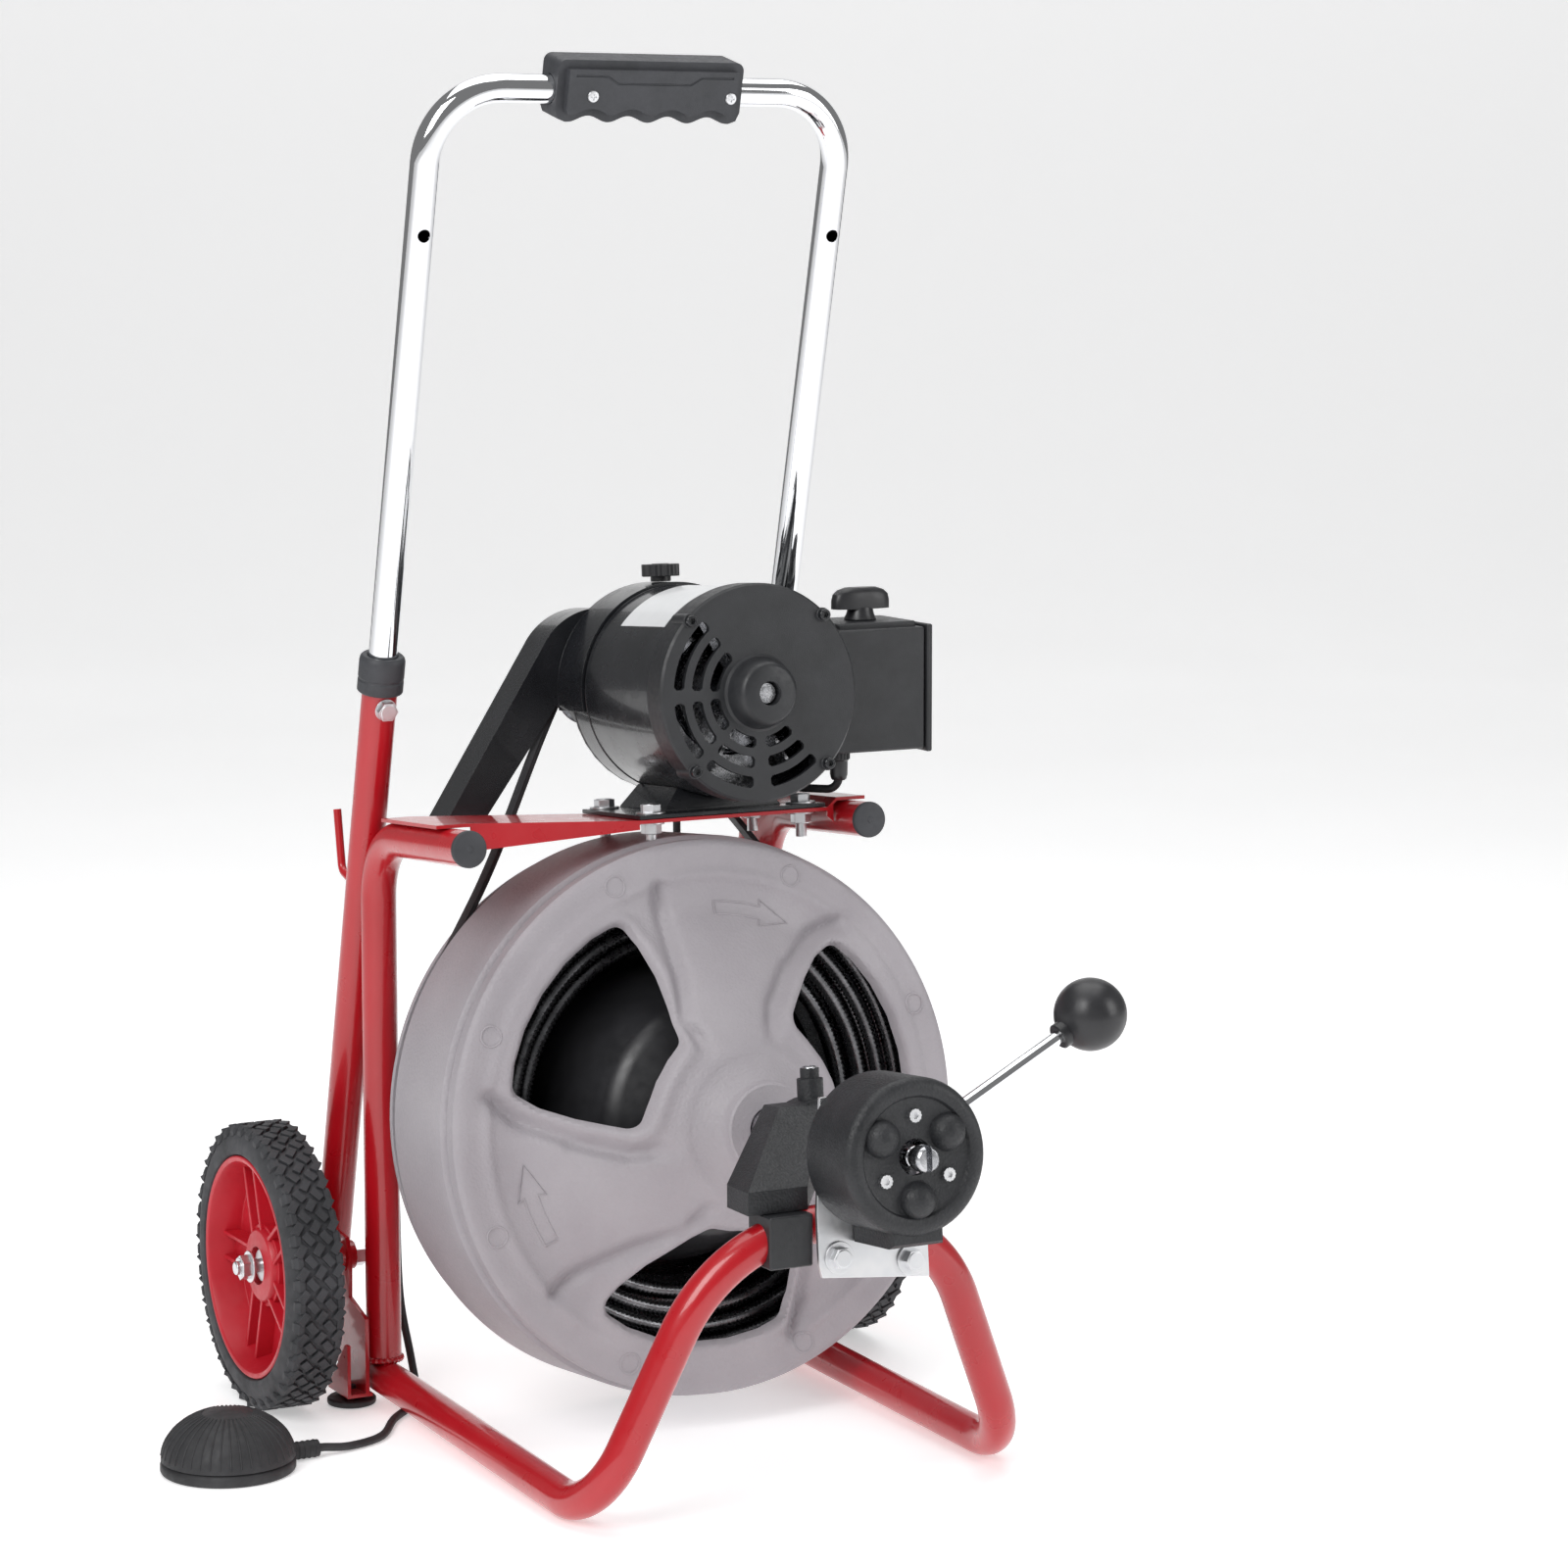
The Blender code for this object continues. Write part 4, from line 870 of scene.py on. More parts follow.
def make_collars():
    profile = [
        (10.6, GAP), (15.6, GAP), (16.4, 1.4), (16.4, 9), (15.9, 9.6), (15.9, 10.8), (16.4, 11.4),
        (16.4, 23.6), (15.8, 26), (14.4, 27.5), (11.4, 27.5), (10.6, 26.4),
    ]
    for name, side in SIDES:
        base = leg_point(side, SOCKET_Z[1])
        upward = (leg_point(side, 600) - base).to_track_quat("Z", "Y").to_matrix().to_4x4()
        collar = placed(lathe(profile), Matrix.Translation(base) @ upward)
        finished(f"{name}_collar", collar, "charcoal", nodes=[f"{name}_socket_collar"], edge=0.3)


def make_lock_screws():
    for name, side in SIDES:
        centre = leg_point(side, LOCK_Z)
        forward = (leg_point(side, LOCK_Z, -10) - centre).to_track_quat("Z", "Y").to_matrix().to_4x4()
        screw = bundle(
            disc(3.9, HANDLE_R + 0.4, 14, sides=28), hexagon(13, 13.6, 19),
            disc(6, 13.4, 19.5, sides=40, edge=0.5), disc(8, 12.9, 13.7),
        )
        placed(screw, Matrix.Translation(centre) @ forward)
        finished(f"{name}_hex_screw", screw, "zinc", nodes=[f"{name}_lock_screw"], edge=0.35)
        nub = placed(disc(3, -16.2, -11, sides=28, edge=0.8), Matrix.Translation(centre) @ forward)
        finished(f"{name}_socket_pin", nub, "zinc")


# ---------------------------------------------------------------- handle


def make_handle():
    low = [leg_point(s, HANDLE_LOW_Z) for s in (-1, 1)]
    high = [leg_point(s, HANDLE_TOP_Z) for s in (-1, 1)]
    route = rounded_route([low[0], high[0], high[1], low[1]], [HANDLE_BEND] * 2, 24)
    handle = sweep(route, HANDLE_R, HANDLE_BORE, 56)
    for side in (-1, 1):
        centre = leg_point(side, HANDLE_HOLE_Z)
        handle = cut(handle, rod(leg_point(side, HANDLE_HOLE_Z, -20), centre, LOCK_HOLE_R, sides=32))
    finished("chrome_handle", handle, "chrome", nodes=["handle_tube"], edge=0.3)


def grip_frame():
    lean = math.atan(LEG_LEAN)
    centre = leg_point(1, HANDLE_TOP_Z)
    return Matrix.Translation((0, centre.y, centre.z)) @ Matrix.Rotation(lean, 4, "X")


def grip_outline():
    """The grip seen from the front: a flat top with round ends and four finger hollows below."""
    half = GRIP_HALF
    top = rounded_outline([(-half, -19), (-half, 23), (half, 23), (half, -19)], 6)[9:27]
    fingers = []
    for k in range(61):
        x = half - 8 - (2 * half - 16) * k / 60
        dip = 0.5 - 0.5 * math.cos(TURN * (x + half - 10) / 30.5)
        fingers.append((x, -20 + 4.5 * dip if abs(x) < 61 else -20))
    below = [(half, -12), (half - 2.5, -18)] + fingers + [(-half + 2.5, -18)]
    return [(-half, -12)] + [tuple(p) for p in top] + below


def make_grip():
    """Two shells with a parting line, held by two screws from the front."""
    turned = grip_frame()
    for name, near, far in (("front", -GRIP_FACE, -GAP / 2), ("rear", GAP / 2, GRIP_FACE)):
        shell = front_prism(grip_outline(), near, far)
        outer = near if name == "front" else far
        rim = [e for e in shell.edges if all(abs(v.co.y - outer) < 0.01 for v in e.verts)]
        bmesh.ops.bevel(shell, geom=rim, offset=7, segments=6, affect="EDGES", clamp_overlap=True)
        shell = cut(shell, rod((-90, 0, 0), (90, 0, 0), HANDLE_R + GAP, sides=56))
        if name == "front":
            line = [(x, near, z) for x, z in GRIP_LINE]
            shell = cut(shell, sweep(rounded_route(line, [4] * (len(line) - 2), 6), 0.8, sides=16))
        placed(shell, turned)
        finished(f"grip_{name}_half", shell, "charcoal", nodes=[f"grip_{name}_shell"], edge=0.35, smooth=50)
    for number, x in enumerate(GRIP_SCREWS, 1):
        screw = cross_screw(4.2, 1.2)
        forward = Matrix.Rotation(math.pi / 2, 4, "X")
        placed(screw, turned @ Matrix.Translation((x, -GRIP_FACE, -1)) @ forward)
        finished(f"grip_screw_{number}", screw, "zinc", "handle", edge=0.15)


def cross_screw(radius, height):
    """A pan-head screw with a cross recess, its head from z = 0 up."""
    head = lathe([(0, -1.5), (radius * 0.9, -1.5), (radius, 0.2), (radius * 0.9, height * 0.8),
                  (radius * 0.6, height), (0, height)], 36)
    wide, slim = [(-radius * share, radius * share) for share in (0.55, 0.13)]
    deep = (height * 0.3, 9)
    return cut(head, block(wide, slim, deep), block(slim, wide, deep))


# ---------------------------------------------------------------- wheels


def wheel_frame(side):
    """Local z points outwards along the axle."""
    centre = (side * WHEEL_X, WHEEL_Y, WHEEL_R)
    return Matrix.Translation(centre) @ Matrix.Rotation(side * math.pi / 2, 4, "Y")


def tyre_mesh():
    """A solid tyre: flat sides, round shoulders and rows of slanted tread blocks."""
    half = WHEEL_WIDTH / 2
    base = WHEEL_R - 2.4
    carcass = lathe(
        [
            (RIM_R + GAP, -half + 3), (82, -half + 0.6), (86, -half), (94, -half + 1.6), (98, -half + 4),
            (base, -half + 8), (base, half - 8), (98, half - 4), (94, half - 1.6), (86, half),
            (82, half - 0.6), (RIM_R + GAP, half - 3),
        ],
        144,
    )
    blocks = []
    for row in range(TREAD_ROWS):
        for column in range(5):
            across = (column - 2) * 6.6
            turn = TURN * (row + 0.5 * (column % 2)) / TREAD_ROWS
            slant = math.radians(38 if column % 2 else -38)
            lug = block((base - 1.5, WHEEL_R), (-4.6, 4.6), (-2.9, 2.9))
            place = Matrix.Rotation(turn, 4, "Z") @ Matrix.Translation((0, 0, across))
            blocks.append(placed(lug, place @ Matrix.Rotation(slant, 4, "X")))
        for edge in (-1, 1):
            turn = TURN * (row + 0.5) / TREAD_ROWS
            lug = hull(
                block((base - 3, WHEEL_R - 1.2), (-4.4, 4.4), (-2, 2)),
                placed(block((95, 98.6), (-3.2, 3.2), (-0.4, 0.4)), Matrix.Translation((0, 0, edge * 4.2))),
            )
            place = Matrix.Rotation(turn, 4, "Z") @ Matrix.Translation((0, 0, edge * (half - 6)))
            blocks.append(placed(lug, place))
    return bundle(carcass, *blocks)


def rim_mesh():
    """A moulded rim: barrel, back disc, raised hub and spokes of two ribs with a floor between."""
    barrel = lathe(
        [
            (5.4, -20), (13, -20), (16, -10), (70, -10), (74, -18), (RIM_R, -18), (RIM_R, 18.6), (79, 19.2),
            (76.4, 18.4), (75, 15), (70.5, -5.5), (29, -5.5), (27, 6), (25.4, 8.2), (13.6, 9.6), (13, 5),
            (5.4, 5),
        ],
        120,
    )
    ribs = []
    for k in range(SPOKES):
        turn = Matrix.Rotation(TURN * (k + 0.25) / SPOKES, 4, "Z")
        for offset in (-9, 9):
            ribs.append(placed(block((22, 74), (offset - 1.5, offset + 1.5), (-7, 7)), turn))
        ribs.append(placed(block((24, 73), (-9, 9), (-7, -1)), turn))
    ribs.append(disc(30, -7, 4.4))
    return bundle(barrel, *ribs)


def make_wheels():
    for name, side in SIDES:
        place = wheel_frame(side)
        tyre = placed(tyre_mesh(), place)
        finished(f"{name}_tread_tyre", tyre, "tyre", nodes=[f"{name}_tyre"], edge=0.5)
        rim = placed(rim_mesh(), place)
        finished(f"{name}_spoked_rim", rim, "red_plastic", nodes=[f"{name}_wheel_rim"], edge=0.7)


def make_axles():
    """Each axle has a washer and a nut outside the hub, and a nut inside the frame."""
    for name, side in SIDES:
        axle = bundle(
            disc(AXLE_R, -78, 26.5, sides=40, edge=0.8), disc(11.5, 14.4, 15.8), hexagon(16, 15.8, 22.6),
            disc(7.4, 15.8, 23, sides=40, edge=0.5), hexagon(16, -72.5, -65), disc(7.4, -73, -65, edge=0.5),
            disc(11.5, 5.4, 6.6),
        )
        placed(axle, wheel_frame(side))
        finished(f"{name}_axle_and_nuts", axle, "zinc", nodes=[f"{name}_stub_axle"], edge=0.4)


# ---------------------------------------------------------------- motor


def make_motor_base():
    refined("motor_base", "black_gloss", 1.2)


def make_motor_shell():
    shell = disc(MOTOR_R, -148, -22.3, bore=72, sides=128)
    placed(shell, MOTOR)
    finished("motor_barrel", shell, "black_gloss", nodes=["motor_shell"], edge=0.6)
    seam = placed(lathe(ring_section(MOTOR_R + 0.1, -126, 0.5), 128), MOTOR)
    finished("motor_barrel_seam", seam, "black_gloss")
    label = []
    for radius in (MOTOR_R + 0.02, MOTOR_R + 0.35):
        label.append(arc(radius, 92, 140, 24))
    patch = placed(prism(label[0] + label[1][::-1], -100, -30), MOTOR)
    finished("motor_blank_label", patch, "label")


def ring_section(radius, height, size):
    """A small round section for lathe()."""
    angles = (TURN * k / 8 for k in range(8))
    return [(radius + size * math.cos(a), height + size * math.sin(a)) for a in angles]


def vent(ring, sector):
    """One curved slot of the front bell with round corners."""
    inner, outer = ring
    first, last = sector
    easing = math.degrees(2 / inner)
    outline = arc(outer, first + easing, last - easing, 10)
    outline += [polar(outer - 2, last - 0.3), polar(inner + 2, last - 0.3)]
    outline += arc(inner, last - easing, first + easing, 10)
    outline += [polar(inner + 2, first + 0.3), polar(outer - 2, first + 0.3)]
    return prism(outline, -8, 4)


def make_front_bell():
    """A cast cup with a raised hub, curved vents, and four screws in bosses on its rim."""
    cup = lathe(
        [
            (8.5, 17), (19, 17), (20.4, 16.2), (22.4, 14), (24.6, 4), (25.6, 1.2), (27.5, 0), (75.4, 0),
            (BELL_R, -1.6), (BELL_R, -22), (73, -22), (73, -4), (17, -4), (17, -10), (8.5, -10),
        ],
        128,
    )
    slots = [vent(ring, sector) for ring in VENT_RINGS for sector in VENT_SECTORS]
    cup = placed(cut(cup, *slots), MOTOR)
    finished("motor_vented_bell", cup, "black_coat", nodes=["motor_front_bell"], edge=0.5)
    corners = [(sx * BELL_SCREW, sy * BELL_SCREW) for sx in (-1, 1) for sy in (-1, 1)]
    for number, (x, y) in enumerate(corners, 1):
        boss = placed(disc(5.2, -20, 0.8, edge=0.6), at(MOTOR, x, y, 0))
        finished(f"motor_bell_boss_{number}", boss, "black_coat", edge=0.3)
        screw = cut(disc(4.1, -2, 4.6, edge=0.5), hexagon(4, 2, 9))
        finished(f"motor_bell_screw_{number}", placed(screw, at(MOTOR, x, y, 0)), "black_gloss", edge=0.25)


def make_gear_case():
    refined("gear_case", "black_coat", 1.0)


def output_frame():
    return MOTOR @ Matrix.Translation(PULLEY_AT)


def make_pulley():
    rim = PULLEY_R + 6
    half = PULLEY_HALF
    front = [(8.3, half + 1.8), (rim, half + 1.8), (rim, half + 0.8), (PULLEY_R, half)]
    profile = front + [(radius, -height) for radius, height in reversed(front)]
    pulley = placed(lathe(profile, 72), output_frame())
    finished("small_pulley", pulley, "steel", nodes=["motor_pulley"], edge=0.4)


def belt_arc(place, radius, first, last, steps):
    sideways = place.to_3x3() @ Vector((0, 0, 1))
    found = []
    for k in range(steps + 1):
        angle = first + (last - first) * k / steps
        outward = place.to_3x3() @ Vector((math.cos(angle), math.sin(angle), 0))
        found.append((place.translation + (radius + GAP) * outward, outward, sideways))
    return found


def belt_strand(start, end):
    """The free run: it leaves the drum in the groove's plane, then drifts to the pulley's plane."""
    sideways = start[2]
    run = end[0] - start[0]
    drift = run.dot(sideways)
    strand = []
    for k in range(1, STRAND_STEPS):
        share = k / STRAND_STEPS
        ease = max(0, (share - BELT_IN_PLANE) / (1 - BELT_IN_PLANE))
        ease = ease * ease * (3 - 2 * ease)
        point = start[0] + (run - drift * sideways) * share + drift * ease * sideways
        outward = start[1].lerp(end[1], ease).normalized()
        strand.append((point, outward, start[2].lerp(end[2], ease).normalized()))
    return strand


def belt_route():
    drum = DRUM @ Matrix.Translation((0, 0, BELT_H))
    pulley = output_frame()
    across = pulley.translation - drum.translation
    rise = math.atan2(across.z, across.x)
    spread = math.acos((BELT_R - PULLEY_R) / math.hypot(across.x, across.z))
    low = belt_arc(drum, BELT_R, rise + spread, rise - spread + TURN, 160)
    high = belt_arc(pulley, PULLEY_R, rise - spread, rise + spread, 28)
    left = belt_strand(low[0], high[-1])
    right = belt_strand(low[-1], high[0])
    return low + right + high + left[::-1]


def make_belt():
    """A flat belt with a crowned back and a fine groove on each side."""
    inner, outer = BELT_HALF
    groove = [(0, inner), (2, inner + 0.3), (2.3, inner), (2.6, inner + 0.4)]
    groove += [(3.6, outer), (3.9, outer - 1)]
    section = groove + [(BELT_THICK, 0)] + [(up, -side) for up, side in reversed(groove)]
    mesh = bmesh.new()
    rings = []
    for point, outward, sideways in belt_route():
        rings.append([mesh.verts.new(point + outward * up + sideways * side) for up, side in section])
    skin(mesh, rings + rings[:1])
    finished("flat_belt", oriented(mesh), "rubber", nodes=["drive_belt"])


GUARD_FRONT = -168.4
GUARD_REAR = -203
GUARD_HEAD = (-43, 8)
GUARD_HEAD_R = 52
GUARD_TIP = (-169, -88)
GUARD_HEEL = (-138, -88)
GUARD_INSIDE = (-79, -10)
BAND_R = 77.5


def guard_outline(inset=0, drop=0):
    """The guard in the motor's frame: a round head over the pulley and a leg along the belt."""
    head = arc(GUARD_HEAD_R - inset, 15, 149, 40, GUARD_HEAD)
    return head + [
        (GUARD_TIP[0] + 1.2 * inset - 0.6 * drop, GUARD_TIP[1] - drop),
        (GUARD_HEEL[0] + 0.6 * inset, GUARD_HEEL[1] - drop),
        (GUARD_INSIDE[0], GUARD_INSIDE[1] - 2 * drop),
        (head[0][0], GUARD_INSIDE[1] - 2 * drop),
    ]


def make_belt_guard():
    body = prism(guard_outline(), GUARD_REAR, GUARD_FRONT)
    hollow = prism(guard_outline(2, 30), GUARD_REAR - 10, GUARD_FRONT - 2)
    band = prism(arc(BAND_R, 62, 190, 60) + arc(MOTOR_R + GAP, 190, 62, 60), -170, -128)
    output = placed(disc(8.6, -20, 30, sides=48), Matrix.Translation(PULLEY_AT))
    guard = placed(union(cut(body, hollow, output), band), MOTOR)
    finished("belt_guard_and_band", guard, "black_gloss", nodes=["belt_guard"], edge=0.8)


def make_star_knob():
    lobes = []
    for k in range(96):
        angle = 360 * k / 96
        lobes.append(polar(13.3 + 1.2 * math.cos(math.radians(8 * angle)), angle))
    top = [(0, 12.2), (6, 12.2), (6.4, 13.4), (0, 13.4)]
    knob = bundle(prism(lobes, 4, 13), disc(7.5, GAP, 5), lathe(top, 40))
    seat = MOTOR @ Vector((0, BAND_R, -150))
    placed(knob, Matrix.Translation(seat) @ Matrix.Rotation(-MOTOR_TILT, 4, "X"))
    finished("star_knob", knob, "black_plastic", nodes=["guard_star_knob"], edge=1.2, segments=4)


# ---------------------------------------------------------------- switch box


def make_switch_box():
    refined("switch_box", "black_coat", 0.9)
    refined("switch_box_cover", "black_coat", 0.9)
    for number, (y, z) in enumerate(((-133, 477), (-77, 477), (-133, 556), (-77, 556)), 1):
        place = Matrix.Translation((COVER_FACE, y, z)) @ Matrix.Rotation(math.pi / 2, 4, "Y")
        finished(f"cover_screw_{number}", placed(cross_screw(3, 1), place), "steel", edge=0.12)


def make_switch_knob():
    """A round skirt with a pointer wing that narrows towards its top."""
    top = BOX_TOP + 4 + GAP
    skirt = lathe([(0, 0), (11.6, 0), (12, 0.6), (10.2, 4), (9, 9), (0, 9)], 64)
    layers = []
    for low, high, share in ((8, 14, 1), (14, 18.5, 0.95), (18.5, 21.5, 0.8), (21.5, 23.4, 0.55)):
        wing = []
        for k in range(64):
            point = zip(polar(1, 360 * k / 64), WING_POWER, WING_HALF)
            wing.append([math.copysign(abs(c) ** power, c) * half * share for c, power, half in point])
        layers.append(prism(wing, low, high))
    knob = bundle(skirt, hull(*layers), disc(6.5, -14, 1))
    placed(knob, Matrix.Translation((*SWITCH_AT, top)))
    finished("pointer_knob", knob, "black_plastic", nodes=["switch_knob"], edge=0.8, segments=3)


def make_gland_and_lead():
    top = (152, -124, 471.5)
    ribs = []
    for k in range(18):
        rib = block((7, 8.2), (-0.7, 0.7), (-4.6, -0.4))
        ribs.append(placed(rib, Matrix.Rotation(TURN * k / 18, 4, "Z")))
    body = lathe(
        [
            (3.5, 3), (4.1, 3), (4.1, 0), (7.6, 0), (7.6, -5), (6.6, -6), (6.4, -16), (5.6, -19),
            (4.6, -20), (3.5, -20),
        ],
        48,
    )
    gland = placed(bundle(body, *ribs), Matrix.Translation(top))
    finished("gland_body", gland, "black_plastic", nodes=["cable_gland"], edge=0.25)
    seat, off_shell = (MOTOR @ Vector((*polar(r, -52), -78)) for r in (MOTOR_R + 0.7, 88))
    route = [(152, -124, 466), (152, -124, 444.5), (132, -104, 444.5), off_shell, seat]
    lead = sweep(rounded_route(route, [9, 9, 3], 12), 3, sides=24)
    finished("short_motor_lead", lead, "rubber", nodes=["motor_lead"])


# ---------------------------------------------------------------- drum


def soft_ramp(x, width):
    """0 below zero and x above it, with a round corner."""
    if x < -width:
        return 0
    return x if x > width else (x + width) ** 2 / (4 * width)


def bell_curve(x):
    return math.exp(-x * x)


def window_ring(angle):
    """The outline of a window drawn in by the radius of its corners."""
    corners = [Vector(polar(r, angle + a)) for r, a in WINDOW_CORNERS]
    ring = []
    for before, corner, after in zip(corners[-1:] + corners, corners, corners[1:] + corners[:1]):
        a = (before - corner).normalized()
        b = (after - corner).normalized()
        inwards = (a + b).normalized() * (1 if b.cross(a) > 0 else -1)
        ring.append(corner + inwards * WINDOW_ROUND / math.sin(a.angle(b) / 2))
    return ring


WINDOWS = {angle: window_ring(angle) for angle in WINDOW_ANGLES}
CREASE_LINES = {
    angle: [[Vector(polar(r, angle + a)) for r, a in line] for line in CREASES] for angle in WINDOW_ANGLES
}


def nearest_window(point):
    """The middle angle of the window whose third of the face holds the point."""
    degrees = math.degrees(math.atan2(point.y, point.x))
    return min(WINDOW_ANGLES, key=lambda angle: abs((degrees - angle + 180) % 360 - 180))


def away_from(point, a, b):
    """The shortest way from the line a-b to the point."""
    along = b - a
    share = min(1, max(0, (point - a).dot(along) / along.length_squared))
    return point - (a + along * share)


def beyond_window(point):
    """(distance outside the window's edge, direction away from it). Inside, it is negative."""
    ring = WINDOWS[nearest_window(point)]
    sides = list(zip(ring, ring[1:] + ring[:1]))
    nearest = min((away_from(point, a, b) for a, b in sides), key=lambda away: away.length_squared)
    inside = False
    for a, b in sides:
        if (a.y > point.y) != (b.y > point.y):
            inside ^= point.x < a.x + (b.x - a.x) * (point.y - a.y) / (b.y - a.y)
    sign = -1 if inside else 1
    return sign * nearest.length - WINDOW_ROUND, sign * nearest.normalized()


def crease_distance(point):
    lines = CREASE_LINES[nearest_window(point)]
    return min(away_from(point, a, b).length for line in lines for a, b in zip(line, line[1:]))


def face_height(point, distance):
    """The drum's front: a flat rim, a step, a cone up to the hub, window lips and moulded creases."""
    radius = point.length
    height = 0.7 * (soft_ramp(150 - radius, 9) - soft_ramp(50 - radius, 6))
    height += 2.4 * bell_curve((radius - 172) / 4.5)
    height += 4.5 * bell_curve((distance - 6) / 6)
    height -= 8 * bell_curve(crease_distance(point) / 6) * min(1, max(0, (radius - 56) / 16))
    if distance < 4:
        height -= 0.22 * (4 - distance) ** 2
    return height


def drum_front_stations():
    """(radius, height) from the hub to the side wall. face_height() gives the face its heights."""
    hub = [(15.3, 78), (15.3, 91), (16.3, 92), (30.5, 92), (32, 90.6), (32.4, 84), (34, 81.5), (40, 77)]
    face = [(48 + 2.05 * k, 0) for k in range(69)]
    rim = [(192, -0.4), (195, -1.8), (196.5, -4), (196.5, -13.6), (194.9, -14.4), (194.9, -16.4)]
    rim += [(197.4, -17.4), (199.2, -19), (DRUM_R, -21), (DRUM_R, -40), (DRUM_R, -99)]
    return hub, face, rim


def make_drum_front():
    """One moulding: hub, sculpted face with three windows, rim and side wall."""
    columns = 400
    hub, face, rim = drum_front_stations()
    mesh = bmesh.new()
    beyond = {}
    rows = []
    for radius, height in hub + face + rim:
        row = [mesh.verts.new((*polar(radius, 360 * k / columns), height)) for k in range(columns)]
        if (radius, height) in face:
            beyond.update((vertex, beyond_window(vertex.co.xy)) for vertex in row)
        rows.append(row)
    for inner, outer in zip(rows, rows[1:]):
        for k in range(columns):
            after = (k + 1) % columns
            corners = (inner[k], outer[k], outer[after], inner[after])
            if sum(beyond[v][0] for v in corners if v in beyond) >= 0:
                mesh.faces.new(corners)
    for vertex, (distance, away) in beyond.items():
        flat = vertex.co.xy
        if vertex.is_boundary:
            flat -= away * distance
            distance = 0
        vertex.co = (*flat, face_height(flat, distance))
    loose = [v for v in mesh.verts if not v.link_faces]
    bmesh.ops.delete(mesh, geom=loose, context="VERTS")
    placed(mesh, DRUM)
    made = finished("drum_sculpted_front", mesh, "drum", nodes=["drum_front_shell"])
    wall = made.modifiers.new("wall", "SOLIDIFY")
    wall.thickness = 4 * MM
    wall.offset = -1
    rounded_edges(made, 1.1, 3)


def surface_point(radius, degrees, lift=0.15):
    point = Vector(polar(radius, degrees))
    return Vector((point.x, point.y, face_height(point, beyond_window(point)[0]) + lift))


def make_drum_marks():
    """Raised outlines on the face: eight small moulding circles and two turning arrows."""
    for number in range(8):
        centre = Vector(polar(181, 21.5 + 45 * number))
        loop = []
        for k in range(40):
            offset = Vector(polar(7.2, 9 * k))
            point = centre + offset
            loop.append(Vector((point.x, point.y, face_height(point, beyond_window(point)[0]))))
        ring = placed(sweep(loop, 0.8, sides=8, closed=True), DRUM)
        finished(f"drum_circle_{number + 1}", ring, "drum", "drum")
    for number, start in enumerate((72.5, 196), 1):
        shape = arrow_outline(start)
        ridge = placed(sweep(shape, 0.8, sides=8, closed=True), DRUM)
        finished(f"drum_arrow_{number}", ridge, "drum", "drum")


def arrow_outline(start):
    """A curved arrow's outline on the face, clockwise seen from the front."""
    inner, outer, middle = 144, 153, 148.5
    tail, neck, tip = start + 14, start, start - 9
    shape = [(outer, tail - (tail - neck) * k / 8) for k in range(9)]
    shape += [(outer + 5, neck + 0.5), (middle, tip), (inner - 5, neck + 0.5)]
    shape += [(inner, neck + (tail - neck) * k / 8) for k in range(9)]
    return [surface_point(r, a, 0) for r, a in shape]


def make_drum_rear():
    rear = lathe(
        [
            (193, -86), (193, -99.3), (196.5, -99.3), (196.5, -100.2), (BELT_R + 0.6, -101.9),
            (BELT_R, -102.5), (BELT_R, -116.2), (BELT_R + 1, -117), (194, -117), (194.5, -117.6),
            (194.5, -120.4), (194, -121), (150, -121), (147, -123.5), (143, -123.5), (140, -121),
            (60, -121), (56, -122), (34, -129),
            (30, -131.5), (30, -141), (29, -142), (10.3, -142), (10.3, -117), (184, -117), (184, -86),
        ],
        160,
    )
    finished("drum_back", placed(rear, DRUM), "drum", nodes=["drum_rear_shell"], edge=0.5)
    ribs = []
    for k in range(12):
        rib = block((62, 138), (-1.6, 1.6), (-124.5, -120.5))
        ribs.append(placed(rib, Matrix.Rotation(TURN * k / 12, 4, "Z")))
    finished("drum_back_ribs", placed(bundle(*ribs), DRUM), "drum", "drum", edge=1.2)


def make_drum_cone():
    cone = lathe(
        [
            (10.3, -116.7), (112, -116.7), (111, -100), (108, -60), (105, -48), (86, 2), (82, 8.5),
            (76, 12), (44, 28.5), (40, 30), (38, 27), (76, 7), (80, 3), (101, -50), (104, -61),
            (107, -112), (10.3, -112),
        ],
        128,
    )
    finished("drum_dark_cone", placed(cone, DRUM), "black_plastic", nodes=["drum_inner_cone"], edge=1)


def cable_ring(radius, height, phase):
    """One turn of the spring cable. The wire's ridges run round it as a screw thread does."""
    sides = 12
    rounds = 2 * round(TURN * radius / CABLE_PITCH)
    mesh = bmesh.new()
    rings = []
    for k in range(rounds):
        ring = []
        for j in range(sides):
            angle = TURN * (k / rounds) + TURN * j / sides * (CABLE_PITCH / (TURN * radius)) + phase
            size = CABLE_R if k % 2 else CABLE_R - CABLE_GROOVE
            spread = radius + size * math.cos(TURN * j / sides)
            level = height + size * math.sin(TURN * j / sides)
            ring.append(mesh.verts.new((spread * math.cos(angle), spread * math.sin(angle), level)))
        rings.append(ring)
    skin(mesh, rings + rings[:1])
    return oriented(mesh)


